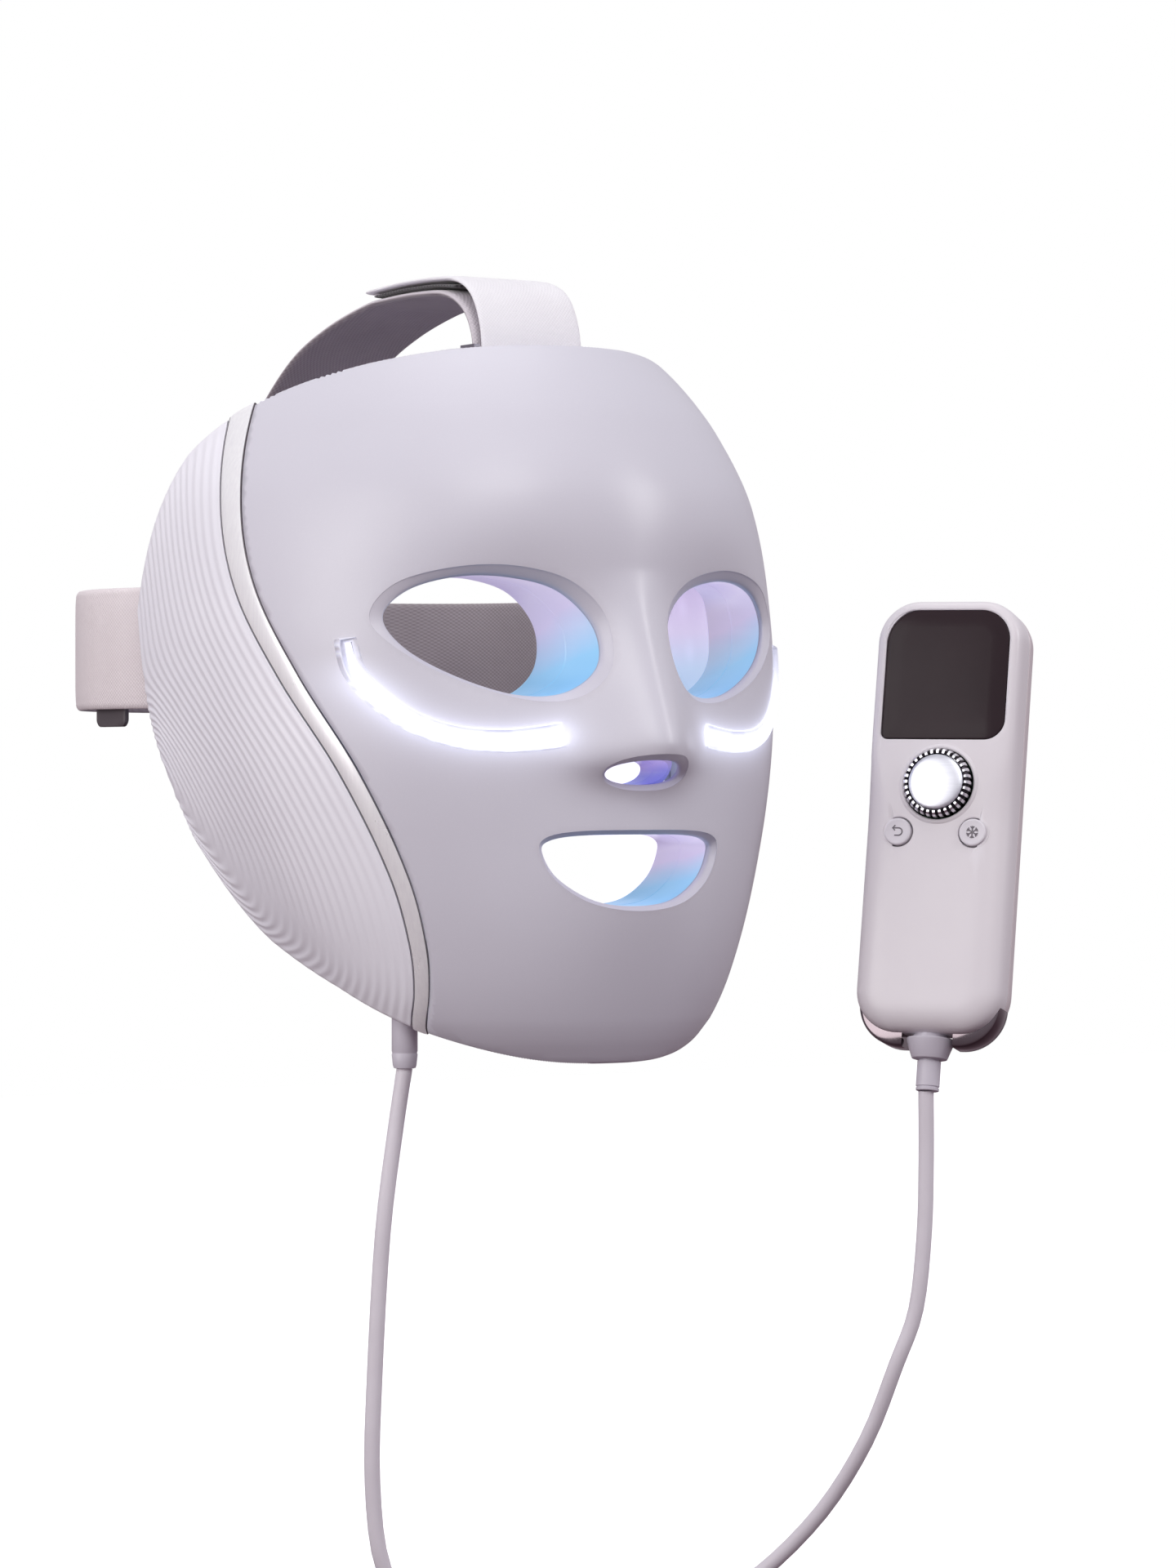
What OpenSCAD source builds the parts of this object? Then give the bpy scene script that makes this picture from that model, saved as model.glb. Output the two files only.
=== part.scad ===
// Full-face light therapy mask with a wired handset.
// Frame: origin at the bridge of the wearer's nose, face looks along -Y, head lies along +Y, +Z up.
// "right" is the wearer's right, which is -X.

/* [Mask] */
// Wall of the outer shell
shell_t = 2.2; // [1.6:0.1:3]
// Wall of the inner liner
liner_t = 2; // [1.4:0.1:2.6]
// Gap from the outer surface to the liner on the midline
cavity = 26; // [22:1:30]
// Height of the nose above the face
nose_h = 20; // [12:1:24]
// Wall of the light tunnels
tunnel_t = 1.6; // [1.2:0.1:2]
// Half width of the trim strip at the chin
strip_chin = 3.3; // [2.5:0.1:4]
// Half width of the trim strip at the temple
strip_temple = 4.8; // [4:0.1:6]

/* [Straps] */
// Width of the straps
strap_w = 36; // [25:1:45]
// Thickness of the rear strap
rear_strap_t = 3; // [2:0.2:4]
// Thickness of the top strap
top_strap_t = 2.4; // [1.6:0.2:3]

/* [Handset] */
// Width of the handset
remote_w = 46; // [42:1:50]
// Height of the handset
remote_h = 138; // [130:1:150]
// Thickness of the handset
remote_t = 20; // [19:0.5:22]
// Outer diameter of the dial
dial_d = 21; // [19:0.5:22]
// Diameter of the two buttons
button_d = 8.4; // [7:0.2:9]

/* [Cord] */
// Diameter of the cord
cord_d = 4.8; // [4:0.2:6]

/* [Hidden] */
$fn = 48;

// Sections of the mask by height: half width, midline front and depth from front to side
WIDTH = [[-132, 36], [-118, 56], [-94, 71], [-61, 83], [-30, 90], [4, 93], [39, 91], [62, 84], [78, 74],
    [92, 58]];
FRONT = [[-132, -12], [-118, -20], [-94, -26], [-61, -27.5], [-30, -28], [4, -28], [39, -25], [62, -15],
    [78, -3], [92, 12]];
DEPTH = [[-132, 32], [-118, 53], [-94, 70], [-61, 78], [-30, 85], [4, 94], [39, 108], [62, 112], [78, 108],
    [92, 92]];
// Middle of the trim strip, as a share of the way round, by share of the height
STRIP = [[0, 0.775], [0.075, 0.66], [0.15, 0.607], [0.25, 0.6], [0.4, 0.665], [0.55, 0.78], [0.68, 0.858],
    [0.8, 0.876], [1, 0.842]];
// Clear openings and the line of the light bar, across and up
EYE = [[68, 3], [62, 11], [50, 15], [36, 15], [22, 11], [13, 1], [13, -11], [22, -19], [36, -19.7],
    [51, -14.5], [63, -6.5]];
MOUTH_HALF = [[0, -82.2], [14, -80.5], [25, -74], [29.5, -66.5], [28, -63], [19, -61.3], [0, -61]];
LIGHT_BAR = [[76.5, -4], [75, -13], [70, -21.5], [62, -28.5], [52, -32.3], [41, -33.2], [33, -32.6],
    [26, -31.6]];
// Strap routes: the rear strap across and back, the top strap and its flap back and up
REAR_HALF = [[83.3, 102], [84.6, 118], [89.5, 135], [90.5, 150], [85, 168], [72, 187], [52, 199.5],
    [27, 205.5], [0, 207]];
TOP_ROUTE = [[36.5, 82], [38, 92], [43.5, 100], [54, 105], [70, 106.3], [90, 106.1], [104, 104.9],
    [128, 99.5],
    [150, 91], [172, 75], [188, 56], [197, 34], [202, 15], [203.4, 0], [203.4, -20]];
FLAP_ROUTE = [[31.5, 82], [33, 94], [38.5, 104], [48, 109], [62, 110.3], [82, 110.4], [102, 109.4]];
HOOK_ROUTE = [[50, 107.2], [62, 108.4], [82, 108.6], [98, 107.9]];
// Cord routes, mask end and handset end
MASK_CORD = [[-50, 24, -131], [-53, 24.5, -150], [-57, 25, -180], [-59.5, 25.5, -222], [-60, 26, -255],
    [-56, 26, -281], [-44, 24, -299], [-26, 17.5, -307.6], [-10, 13, -308.6], [4, 11.2, -308.6]];
REMOTE_CORD = [[42, 11.6, -298.6], [52, 8, -296.4], [63, -1, -288.5], [74, -17, -269], [80, -32, -246],
    [84, -42, -222],
    [88.5, -46, -205], [90.5, -47.5, -182], [91, -47.8, -160], [91, -47.7, -139]];

mask_top = 87;          // height of the upper edge on the midline
mask_bottom = -130;     // height of the lower edge on the midline
rim_h = 7;              // how far the liner stops short of both edges
liner_in = 12;          // how much narrower and how much deeper the liner is
liner_back = 8;
nose_top_z = 18;        // heights of the nose: root, tip and opening
nose_tip_z = -41.5;
nostril_z = -42.6;
nose_w = 11;            // half width of the bridge
brow_hollow = 7;        // hollows around the eyes
lip_rise = 3;           // fullness around the mouth
rear_share = 1.36;      // way round to the rear edge at its ends
side_curl = 1330;       // the side walls curl in by run squared over this
side_run = 140;         // length of side wall for one share beyond the quarter turn
gap = 0.3;              // joint between casing parts
strap_z = -3.5;         // middle height of the rear strap
slider_at = [90.2, 141];  // middle of the rear strap at its slider, across and back
floor_z = -311;         // surface that the spare cord lies on
coil_r = 28;            // mean radius of the cord coil
coil_at = [25, 41];     // centre of the cord coil
coil_turns_h = 11;      // height and width of the coil bundle
gland_at = [-50, 24];   // mask gland, across and back
cheek_at = [47, -15, -46];
cheek_turn = 31;        // turn of the cooling stack to the cheek's slope
remote_at = [105.3, -38.3, -58.8];
remote_turn = [-12, 0.5, -53];
dial_z = 11;            // dial centre above the middle of the handset
button_z = -4;
button_x = 11.8;
screen_z = 45.5;
seam_y = 1;             // seam between the handset's covers
wall = 1.8;             // walls of the handset
flange = 1.4;           // shoulder that joins a cover's side wall to its face
tail = 4;               // height of the handset's end trim

// ---------- curves
function slope(k, i) = let(a = max(i - 1, 0), b = min(i + 1, len(k) - 1))
    (k[b][1] - k[a][1]) / (k[b][0] - k[a][0]);
function span(k, x, i = 0) = i >= len(k) - 2 || x < k[i + 1][0] ? i : span(k, x, i + 1);
function curve(k, x) =
    let(i = span(k, x), h = k[i + 1][0] - k[i][0], t = (x - k[i][0]) / h)
    (1 + 2 * t) * pow(1 - t, 2) * k[i][1] + t * pow(1 - t, 2) * h * slope(k, i)
    + t * t * (3 - 2 * t) * k[i + 1][1] + t * t * (t - 1) * h * slope(k, i + 1);
function between(a, b, t) = a + (b - a) * t;
function clip01(x) = min(1, max(0, x));
function bell(x, w) = exp(-pow(x / w, 2));
function step_up(x, w) = 1 / (1 + exp(-x / w));
// A smooth line through points, k steps from each to the next
function blend_point(a, b, c, d, t) =
    b + (c - a) * t / 2 + (2 * a - 5 * b + 4 * c - d) * t * t / 2 + (3 * b - a - 3 * c + d) * t * t * t / 2;
function smooth_open(p, k) = let(n = len(p))
    concat([for (i = [0:n - 2]) for (j = [0:k - 1])
        blend_point(p[max(i - 1, 0)], p[i], p[i + 1], p[min(i + 2, n - 1)], j / k)], [p[n - 1]]);
function smooth_closed(p, k) = let(n = len(p))
    [for (i = [0:n - 1]) for (j = [0:k - 1])
        blend_point(p[(i + n - 1) % n], p[i], p[(i + 1) % n], p[(i + 2) % n], j / k)];
function mirrored(half) = concat(half, [for (i = [len(half) - 2:-1:1]) [-half[i][0], half[i][1]]]);
function mirrored_route(half) = concat(half, [for (i = [len(half) - 2:-1:0]) [-half[i][0], half[i][1]]]);

// ---------- surface of the mask
function nose_share(z) = clip01((nose_top_z - z) / 58);
function relief(x, z) =
    nose_h * pow(nose_share(z), 1.3) * bell(x, nose_w + 6 * nose_share(z)) * step_up(z - nose_tip_z, 2.5)
    - brow_hollow * exp(-pow((abs(x) - 38) / 26, 2) - pow((z - 2) / 20, 2))
    + lip_rise * exp(-pow(x / 30, 2) - pow((z + 72) / 22, 2));
function nose_room(x, z) =
    nose_h * pow(nose_share(z), 1.2) * bell(x, 15 + 9 * nose_share(z)) * step_up(z - nose_tip_z + 4.5, 4);
// A point on the outer surface: s is the share of the way round, 1 at the widest place
function skin(s, z) =
    let(f = min(abs(s), 1) * 90, e = max(abs(s) - 1, 0) * side_run,
        x = sign(s) * (curve(WIDTH, z) * sin(f) - e * e / side_curl),
        y = curve(FRONT, z) + curve(DEPTH, z) * (1 - cos(f)) + e)
    [x, y - relief(x, z) * clip01((1.15 - abs(s)) / 0.4), z];
// A point on the liner's front side, inside the outer surface
function lining(s, z) =
    let(f = min(abs(s), 1) * 90, e = max(abs(s) - 1, 0) * side_run,
        x = sign(s) * ((curve(WIDTH, z) - liner_in) * sin(f) - e * e / side_curl),
        y = curve(FRONT, z) + cavity + (curve(DEPTH, z) - cavity + liner_back) * (1 - cos(f)) + e)
    [x, y - nose_room(x, z), z];
function unit(v) = v / norm(v);
function skin_in(s, z) =
    unit(cross(skin(s, z + 0.5) - skin(s, z - 0.5), skin(s + 0.005, z) - skin(s - 0.005, z)));
function lining_in(s, z) =
    unit(cross(lining(s, z + 0.5) - lining(s, z - 0.5), lining(s + 0.005, z) - lining(s - 0.005, z)));
function skin_y(x, z) = let(c = sqrt(1 - pow(min(0.99, abs(x) / curve(WIDTH, z)), 2)))
    curve(FRONT, z) + curve(DEPTH, z) * (1 - c) - relief(x, z);
function lining_y(x, z) = let(c = sqrt(1 - pow(min(0.99, abs(x) / (curve(WIDTH, z) - liner_in)), 2)))
    curve(FRONT, z) + cavity + (curve(DEPTH, z) - cavity + liner_back) * (1 - c) - nose_room(x, z);
// Outline of the mask: top and bottom by the way round, rear edge by height
function z_top(s) = mask_top - 90 * pow(abs(s) / 1.42, 3);
function z_bottom(s) =
    mask_bottom + 62 * pow(abs(s) / 1.42, 3) + 14 * pow(clip01((abs(s) - 1.17) / 0.2), 1.5);
function s_rear(v) = rear_share + 0.05 * (1 - pow(2 * v - 1, 2));
function s_strip(v) = curve(STRIP, v);
function strip_half(v) = between(strip_chin, strip_temple, v) / side_run;
function at_share(s, v) = between(z_bottom(s), z_top(s), v);
function face_at(s, v, inset = 0) = let(z = at_share(s, v)) skin(s, z) + skin_in(s, z) * inset;
function liner_z(s, v) = between(z_bottom(s) + rim_h, z_top(s) - rim_h, v);
function liner_at(s, v, inset = 0) = let(z = liner_z(s, v)) lining(s, z) + lining_in(s, z) * inset;

// ---------- meshes
// A closed sheet between two grids of points, rows going up and columns going to +X
module sheet(outer, inner) {
    rows = len(outer);
    cols = len(outer[0]);
    n = rows * cols;
    around = concat([for (c = [0:cols - 2]) c], [for (r = [0:rows - 2]) r * cols + cols - 1],
        [for (c = [cols - 1:-1:1]) (rows - 1) * cols + c], [for (r = [rows - 1:-1:1]) r * cols]);
    faces = concat(
        [for (r = [0:rows - 2]) for (c = [0:cols - 2]) let(a = r * cols + c) each
            [[a, a + cols, a + cols + 1], [a, a + cols + 1, a + 1],
             [n + a, n + a + cols + 1, n + a + cols], [n + a, n + a + 1, n + a + cols + 1]]],
        [for (i = [0:len(around) - 1]) let(a = around[i], b = around[(i + 1) % len(around)]) each
            [[a, b, n + b], [a, n + b, n + a]]]);
    polyhedron(points = concat([for (row = outer) each row], [for (row = inner) each row]), faces = faces);
}
// A closed band: rings of equal length, the last ring joined to the first
module band(rings) {
    k = len(rings);
    m = len(rings[0]);
    faces = [for (i = [0:k - 1]) for (j = [0:m - 1])
        let(next = (i + 1) % k, a = i * m + j, b = i * m + (j + 1) % m,
            c = next * m + (j + 1) % m, d = next * m + j) each
            [[a, b, c], [a, c, d]]];
    polyhedron(points = [for (ring = rings) each ring], faces = faces);
}
// A solid through rings of equal length, closed at both ends
module loft(rings) {
    k = len(rings);
    m = len(rings[0]);
    faces = concat(
        [for (i = [0:k - 2]) for (j = [0:m - 1])
            let(a = i * m + j, b = i * m + (j + 1) % m, c = b + m, d = a + m) each
                [[a, c, b], [a, d, c]]],
        [[for (j = [0:m - 1]) j]], [[for (j = [m - 1:-1:0]) (k - 1) * m + j]]);
    polyhedron(points = [for (ring = rings) each ring], faces = faces);
}
// A flat outline of even width along a line
function line_side(p, i) =
    let(d = unit(p[min(i + 1, len(p) - 1)] - p[max(i - 1, 0)])) [-d[1], d[0]];
module ribbon(p, t) {
    polygon(concat([for (i = [0:len(p) - 1]) p[i] + line_side(p, i) * t / 2],
        [for (i = [len(p) - 1:-1:0]) p[i] - line_side(p, i) * t / 2]));
}
module through(outline) {
    translate([0, 100, 0]) rotate([90, 0, 0]) linear_extrude(200) polygon(outline);
}
module both_sides() {
    children();
    mirror([1, 0, 0]) children();
}
function eye_loop(k) = smooth_closed(EYE, k);
function mouth_loop(k) = smooth_closed(mirrored(MOUTH_HALF), k);
function nose_loop(n) = [for (i = [0:n - 1]) let(a = i * 360 / n)
    [13 * sign(cos(a)) * pow(abs(cos(a)), 0.8), nostril_z + 3.6 * sin(a)]];
function grown(loop, d) = let(n = len(loop))
    [for (i = [0:n - 1]) let(t = unit(loop[(i + 1) % n] - loop[(i + n - 1) % n]))
        loop[i] + [t[1], -t[0]] * d];

// ---------- mask casing
SHELL_COLS = 30;
SHELL_ROWS = 24;
function shell_s(c, v) = (2 * c / SHELL_COLS - 1) * (s_strip(v) - strip_half(v) - gap / side_run);
function shell_grid(inset) = [for (r = [0:SHELL_ROWS]) let(v = r / SHELL_ROWS)
    [for (c = [0:SHELL_COLS]) face_at(shell_s(c, v), v, inset)]];
module front_shell() color("#c9c6d2") difference() {
    sheet(shell_grid(0), shell_grid(shell_t));
    both_sides() through(eye_loop(3));
    through(mouth_loop(2));
    through(nose_loop(20));
    both_sides() intersection() {
        through(light_bar_outline());
        translate([20, -60, -50]) cube([70, 80, 60]);
    }
}
module side_panel() {
    rows = 22;
    cols = 12;
    function s_at(c, v) = between(s_strip(v) + strip_half(v) + gap / side_run, s_rear(v), c / cols);
    sheet([for (r = [0:rows]) [for (c = [0:cols]) face_at(s_at(c, r / rows), r / rows)]],
        [for (r = [0:rows]) [for (c = [0:cols]) face_at(s_at(c, r / rows), r / rows, shell_t)]]);
}
module side_panel_left() color("#d6d3dd") side_panel();
module side_panel_right() color("#d6d3dd") mirror([1, 0, 0]) side_panel();
module trim_strip() {
    rows = 26;
    function s_at(c, v) = s_strip(v) + (c - 1) * (strip_half(v) - gap / side_run);
    sheet([for (r = [0:rows]) [for (c = [0:2]) face_at(s_at(c, r / rows), r / rows)]],
        [for (r = [0:rows]) [for (c = [0:2]) face_at(s_at(c, r / rows), r / rows, shell_t)]]);
}
module trim_strip_left() color("#e8e6ee") trim_strip();
module trim_strip_right() color("#e8e6ee") mirror([1, 0, 0]) trim_strip();
LINER_COLS = 30;
LINER_ROWS = 22;
function liner_grid(inset) = [for (r = [0:LINER_ROWS]) let(v = r / LINER_ROWS)
    [for (c = [0:LINER_COLS]) liner_at((2 * c / LINER_COLS - 1) * s_rear(v), v, inset)]];
module inner_liner() color("#b9b6c4") difference() {
    sheet(liner_grid(0), liner_grid(liner_t));
    both_sides() through(grown(eye_loop(3), tunnel_t + 0.2));
    through(grown(mouth_loop(2), tunnel_t + 0.2));
    through(grown(nose_loop(20), tunnel_t + 0.2));
    both_sides() on_cheek() translate([-17.5, 16, -12.5]) cube([35, 14, 25]);
}
// Rim between the outer edge of the casing and the liner's edge
RIM_STEPS = 18;
function rim_path() = concat(
    [for (i = [0:RIM_STEPS - 1]) [between(-rear_share, rear_share, i / RIM_STEPS), 0]],
    [for (i = [0:5]) [s_rear(i / 6), i / 6]],
    [for (i = [0:RIM_STEPS - 1]) [between(rear_share, -rear_share, i / RIM_STEPS), 1]],
    [for (i = [6:-1:1]) [-s_rear(i / 6), i / 6]]);
module edge_rim() color("#a9a6b6") {
    path = rim_path();
    difference() {
        band([[for (p = path) face_at(p[0], p[1], shell_t + 0.4)],
            [for (p = path) liner_at(p[0], p[1], -0.6)],
            [for (p = path) let(q = inner_mark(p)) liner_at(q[0], q[1], -0.6)],
            [for (p = path) let(q = inner_mark(p)) face_at(q[0], q[1], shell_t + 0.4)]]);
        translate([gland_at[0], gland_at[1], -135]) cylinder(d = cord_d + 3.2, h = 40);
        translate([-strap_w / 2 - 3, 26, 60]) cube([strap_w + 6, 16, 40]);
        both_sides() translate([80.5, 98, strap_z - 20.5]) cube([8, 32, 41]);
    }
}
function inner_mark(p) = [p[0] * 0.985, 0.5 + (p[1] - 0.5) * 0.985];

// ---------- light tunnels and bars
module tunnel(loop, start, reach) {
    inner = grown(loop, 0.1);
    outer = grown(loop, tunnel_t + 0.1);
    function front(p) = [p[0], skin_y(p[0], p[1]) + start, p[1]];
    function back(p) = [p[0], max(lining_y(p[0], p[1]) + 3.5, reach), p[1]];
    band([[for (i = [0:len(loop) - 1]) front(inner[i])], [for (i = [0:len(loop) - 1]) front(outer[i])],
        [for (i = [0:len(loop) - 1]) back(outer[i])], [for (i = [0:len(loop) - 1]) back(inner[i])]]);
}
module eye_tunnel_left() color("#a9c9f2") tunnel(eye_loop(3), 4.4, 11);
module eye_tunnel_right() color("#a9c9f2") mirror([1, 0, 0]) tunnel(eye_loop(3), 4.4, 11);
module nose_tunnel() color("#b8b0f0") tunnel(nose_loop(24), 9, -19);
module mouth_tunnel() color("#a9c9f2") tunnel(mouth_loop(2), 3.3, -2);
function bar_path() = smooth_open(LIGHT_BAR, 2);
function bar_half(i) = between(0.8, 2, i / (len(bar_path()) - 1));
function light_bar_outline() = let(p = bar_path(), n = len(p))
    concat([for (i = [0:n - 1]) p[i] + line_side(p, i) * (bar_half(i) + 0.1)],
        [for (i = [n - 1:-1:0]) p[i] - line_side(p, i) * (bar_half(i) + 0.1)]);
module light_bar() {
    p = bar_path();
    n = len(p);
    function edge(i, k, deep) = let(q = p[i] + line_side(p, i) * bar_half(i) * k)
        [q[0], skin_y(q[0], q[1]) + deep, q[1]];
    loft([for (i = [0:n - 1]) [edge(i, 1, 0.1), edge(i, -1, 0.1), edge(i, -1, 3.4), edge(i, 1, 3.4)]]);
}
module light_bar_left() color("#eef4ff") light_bar();
module light_bar_right() color("#eef4ff") mirror([1, 0, 0]) light_bar();

// ---------- electronics between the shell and the liner
module board(s0, s1, v0, v1, cols, rows) {
    sheet([for (r = [0:rows]) let(v = between(v0, v1, r / rows))
            [for (c = [0:cols]) liner_at(between(s0, s1, c / cols), v, -4)]],
        [for (r = [0:rows]) let(v = between(v0, v1, r / rows))
            [for (c = [0:cols]) liner_at(between(s0, s1, c / cols), v, -3)]]);
}
module led_board_forehead() color("#2f6d4f") board(-0.62, 0.62, 0.76, 0.93, 12, 4);
module led_board_left() color("#2f6d4f") board(0.84, 1.08, 0.3, 0.8, 4, 6);
module led_board_right() color("#2f6d4f") mirror([1, 0, 0]) board(0.84, 1.08, 0.3, 0.8, 4, 6);
module led_board_chin() color("#2f6d4f") board(-0.42, 0.42, 0.05, 0.15, 8, 3);
module led(s, v) {
    p = liner_at(s, v, -2.55);
    d = lining_in(s, liner_z(s, v));
    translate(p) rotate([0, acos(d[2]), atan2(d[1], d[0])]) cylinder(d = 3, h = 1.5, $fn = 16);
}
module leds() color("#ffb3d9") {
    for (c = [-4:4]) for (r = [0:2]) led(c * 0.135, 0.79 + r * 0.055);
    for (side = [-1, 1]) for (c = [0:1]) for (r = [0:4]) led(side * (0.9 + c * 0.12), 0.36 + r * 0.09);
    for (c = [-2:2]) led(c * 0.16, 0.1);
}
// Layers of the cooling stack, front to back from the cheek plane
FAN_Y = [4.5, 11.4];
SINK_Y = [11.6, 16.2];
PELTIER_Y = [16.3, 18.9];
COLD_Y = [19, 23.5];
fin_pitch = 3;
fan_bore = 24;
hub_d = 8;
spindle_d = 1.96;
module on_cheek() {
    translate(cheek_at) rotate([0, 0, cheek_turn]) children();
}
module slab(w, h, y0, y1) {
    translate([-w / 2, y0, -h / 2]) cube([w, y1 - y0, h]);
}
module shaft_way(d, y0, y1) {
    translate([0, y0, 0]) rotate([-90, 0, 0]) cylinder(d = d, h = y1 - y0);
}
module cold_plate() on_cheek() slab(34, 24, COLD_Y[0], COLD_Y[1]);
module cold_plate_left() color("#d9dde2") cold_plate();
module cold_plate_right() color("#d9dde2") mirror([1, 0, 0]) cold_plate();
module peltiers() color("#f0efe9") both_sides() on_cheek() slab(26, 20, PELTIER_Y[0], PELTIER_Y[1]);
module heat_sinks() color("#b8bcc4") both_sides() on_cheek() {
    slab(26, 22, SINK_Y[1] - 1.6, SINK_Y[1]);
    for (i = [-4:4]) translate([i * fin_pitch, 0, 0]) slab(0.9, 22, SINK_Y[0], SINK_Y[1] - 1.5);
}
module fan_housing() on_cheek() difference() {
    slab(27, 25, FAN_Y[0], FAN_Y[1]);
    shaft_way(fan_bore, FAN_Y[0] + 1.1, FAN_Y[1] + 1);
    shaft_way(fan_bore - 6, FAN_Y[0] - 1, FAN_Y[1] + 1);
}
module fan_spider() on_cheek() {
    slab(fan_bore + 0.4, 2, FAN_Y[0] + 0.1, FAN_Y[0] + 1.1);
    shaft_way(7, FAN_Y[0] + 0.1, FAN_Y[0] + 1.1);
    shaft_way(spindle_d, FAN_Y[0] + 1, FAN_Y[1] - 0.8);
}
module fan_housing_left() color("#3a3a40") union() {
    fan_housing();
    fan_spider();
}
module fan_housing_right() color("#3a3a40") mirror([1, 0, 0]) union() {
    fan_housing();
    fan_spider();
}
module fan_impeller() on_cheek() difference() {
    union() {
        shaft_way(hub_d, FAN_Y[0] + 1.6, FAN_Y[1] - 0.4);
        for (i = [0:8]) rotate([0, i * 40, 0]) translate([3, FAN_Y[0] + 1.8, -0.5]) cube([8.2, 4.4, 1]);
    }
    shaft_way(spindle_d + 0.08, FAN_Y[0] + 1.5, FAN_Y[1] - 0.2);
}
module fan_impeller_left() color("#55555c") fan_impeller();
module fan_impeller_right() color("#55555c") mirror([1, 0, 0]) fan_impeller();
module main_board() color("#2f6d4f") translate([0, -3, 50]) rotate([-23.5, 0, 0]) {
    slab(64, 24, 0, 1.6);
    for (x = [-22, -6, 10, 24]) translate([x, 0, 0]) slab(8, 8, -2, 0.1);
}
function pad_grid(inset) = [for (r = [0:3]) [for (c = [0:8])
    liner_at(between(-0.36, 0.36, c / 8), between(0.84, 0.93, r / 3), inset)]];
module forehead_pad() color("#e9e6ea") sheet(pad_grid(2.9), pad_grid(7));
module mask_screws() color("#9a9aa2")
    for (mark = [[-0.5, 0.94], [0.5, 0.94], [-1.1, 0.9], [1.1, 0.9], [-0.62, 0.06], [0.62, 0.06]]) {
        d = lining_in(mark[0], liner_z(mark[0], mark[1]));
        translate(liner_at(mark[0], mark[1], liner_t + 0.5))
            rotate([0, acos(d[2]), atan2(d[1], d[0])]) cylinder(d = 4.4, h = 1.2, $fn = 24);
    }
module mask_gland() color("#c3bfcb") translate([gland_at[0], gland_at[1], 0]) rotate_extrude()
    polygon([[0, -112], [cord_d / 2 + 1.5, -112], [cord_d / 2 + 1.4, -122], [cord_d / 2 + 0.6, -131],
        [0, -131]]);

// ---------- straps
module top_anchor() color("#8f8b95") {
    for (side = [-1, 1]) translate([side * (strap_w / 2 + 1.5) - 1, 32.2, 74]) cube([2, 8, 14]);
    translate([-strap_w / 2 - 1.5, 34.2, 80]) rotate([0, 90, 0]) cylinder(d = 2, h = strap_w + 3);
}
module strap_across(route, t) {
    rotate([90, 0, 90]) translate([0, 0, -strap_w / 2])
        linear_extrude(strap_w) ribbon(smooth_open(route, 3), t);
}
module top_strap() color("#6d6669") strap_across(TOP_ROUTE, top_strap_t);
module strap_flap() color("#e6e3ea") strap_across(FLAP_ROUTE, 1.8);
module hook_patch() color("#1c1a1c") strap_across(HOOK_ROUTE, 1.2);
module rear_strap() color("#c9c2c6") translate([0, 0, strap_z - strap_w / 2 - 1])
    linear_extrude(strap_w + 2) ribbon(smooth_open(mirrored_route(REAR_HALF), 3), rear_strap_t);
module side_anchors() color("#8f8b95") both_sides()
    translate([83.2, 99.6, strap_z - 20]) cylinder(d = 3.8, h = 40);
module strap_sliders() color("#4d464a") both_sides() translate([slider_at[0], slider_at[1], strap_z])
    rotate([0, 0, -4]) translate([-rear_strap_t - 1, -6.5, -23]) {
        cube([2, 13, 46]);
        translate([0, 3, -3.2]) cube([2, 7, 3.3]);
    }

// ---------- handset
module on_remote() {
    translate(remote_at) rotate(remote_turn) children();
}
// An upright plate with round corners, from y0 to y1, its lower end raised by lift
module plate(w, h, r, y0, y1, lift = 0) {
    translate([0, y1, lift / 2]) rotate([90, 0, 0]) linear_extrude(y1 - y0) round_box(w, h - lift, r);
}
module round_box(w, h, r) {
    square([w - 2 * r, h], center = true);
    square([w, h - 2 * r], center = true);
    for (x = [-1, 1]) for (y = [-1, 1]) translate([x * (w / 2 - r), y * (h / 2 - r)]) circle(r);
}
remote_front_y = -remote_t / 2;
corner_r = 13;          // corners of the handset
rim_step = 3;           // depth of the stepped edge round each cover's face
lead_bore = 11.2;       // way for the cord gland at the handset's end
port_z = -34;           // lower end of the charging port's opening
window_w = 39;          // opening for the display window
window_h = 41;
module along_y(x, z, d, y0, y1) {
    translate([x, y0, z]) rotate([-90, 0, 0]) cylinder(d = d, h = y1 - y0);
}
post_x = 17.5;
POSTS_Z = [-46, 18];
module remote_posts(d, y0, y1) {
    for (x = [-1, 1]) for (z = POSTS_Z) along_y(x * post_x, z, d, y0, y1);
}
module remote_front() color("#cdc7d0") on_remote() {
    difference() {
        union() {
            plate(remote_w, remote_h, corner_r, remote_front_y + rim_step, seam_y, tail);
            plate(remote_w - 3, remote_h - 3, 12, remote_front_y, remote_front_y + rim_step + 0.1, tail);
        }
        plate(remote_w - 2 * wall, remote_h - 2 * wall, 11.5, remote_front_y + rim_step + flange,
            seam_y + 1, tail);
        plate(remote_w - 8, remote_h - 8, 10, remote_front_y + 2, seam_y + 1, tail);
        translate([0, 0, screen_z]) plate(window_w, window_h, 4, remote_front_y - 1, 0);
        along_y(0, dial_z, dial_d + 0.8, remote_front_y - 1, 0);
        for (x = [-1, 1]) along_y(x * button_x, button_z, button_d + 0.6, remote_front_y - 1, 0);
        translate([-remote_w / 2 - 1, seam_y - 1.85, port_z]) cube([9, 3.6, 9.6]);
        translate([0, 0, -remote_h / 2]) cylinder(d = lead_bore, h = 14);
    }
    difference() {
        remote_posts(4.6, remote_front_y + 1.9, seam_y);
        remote_posts(2.1, remote_front_y + 4, seam_y + 1);
    }
}
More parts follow.
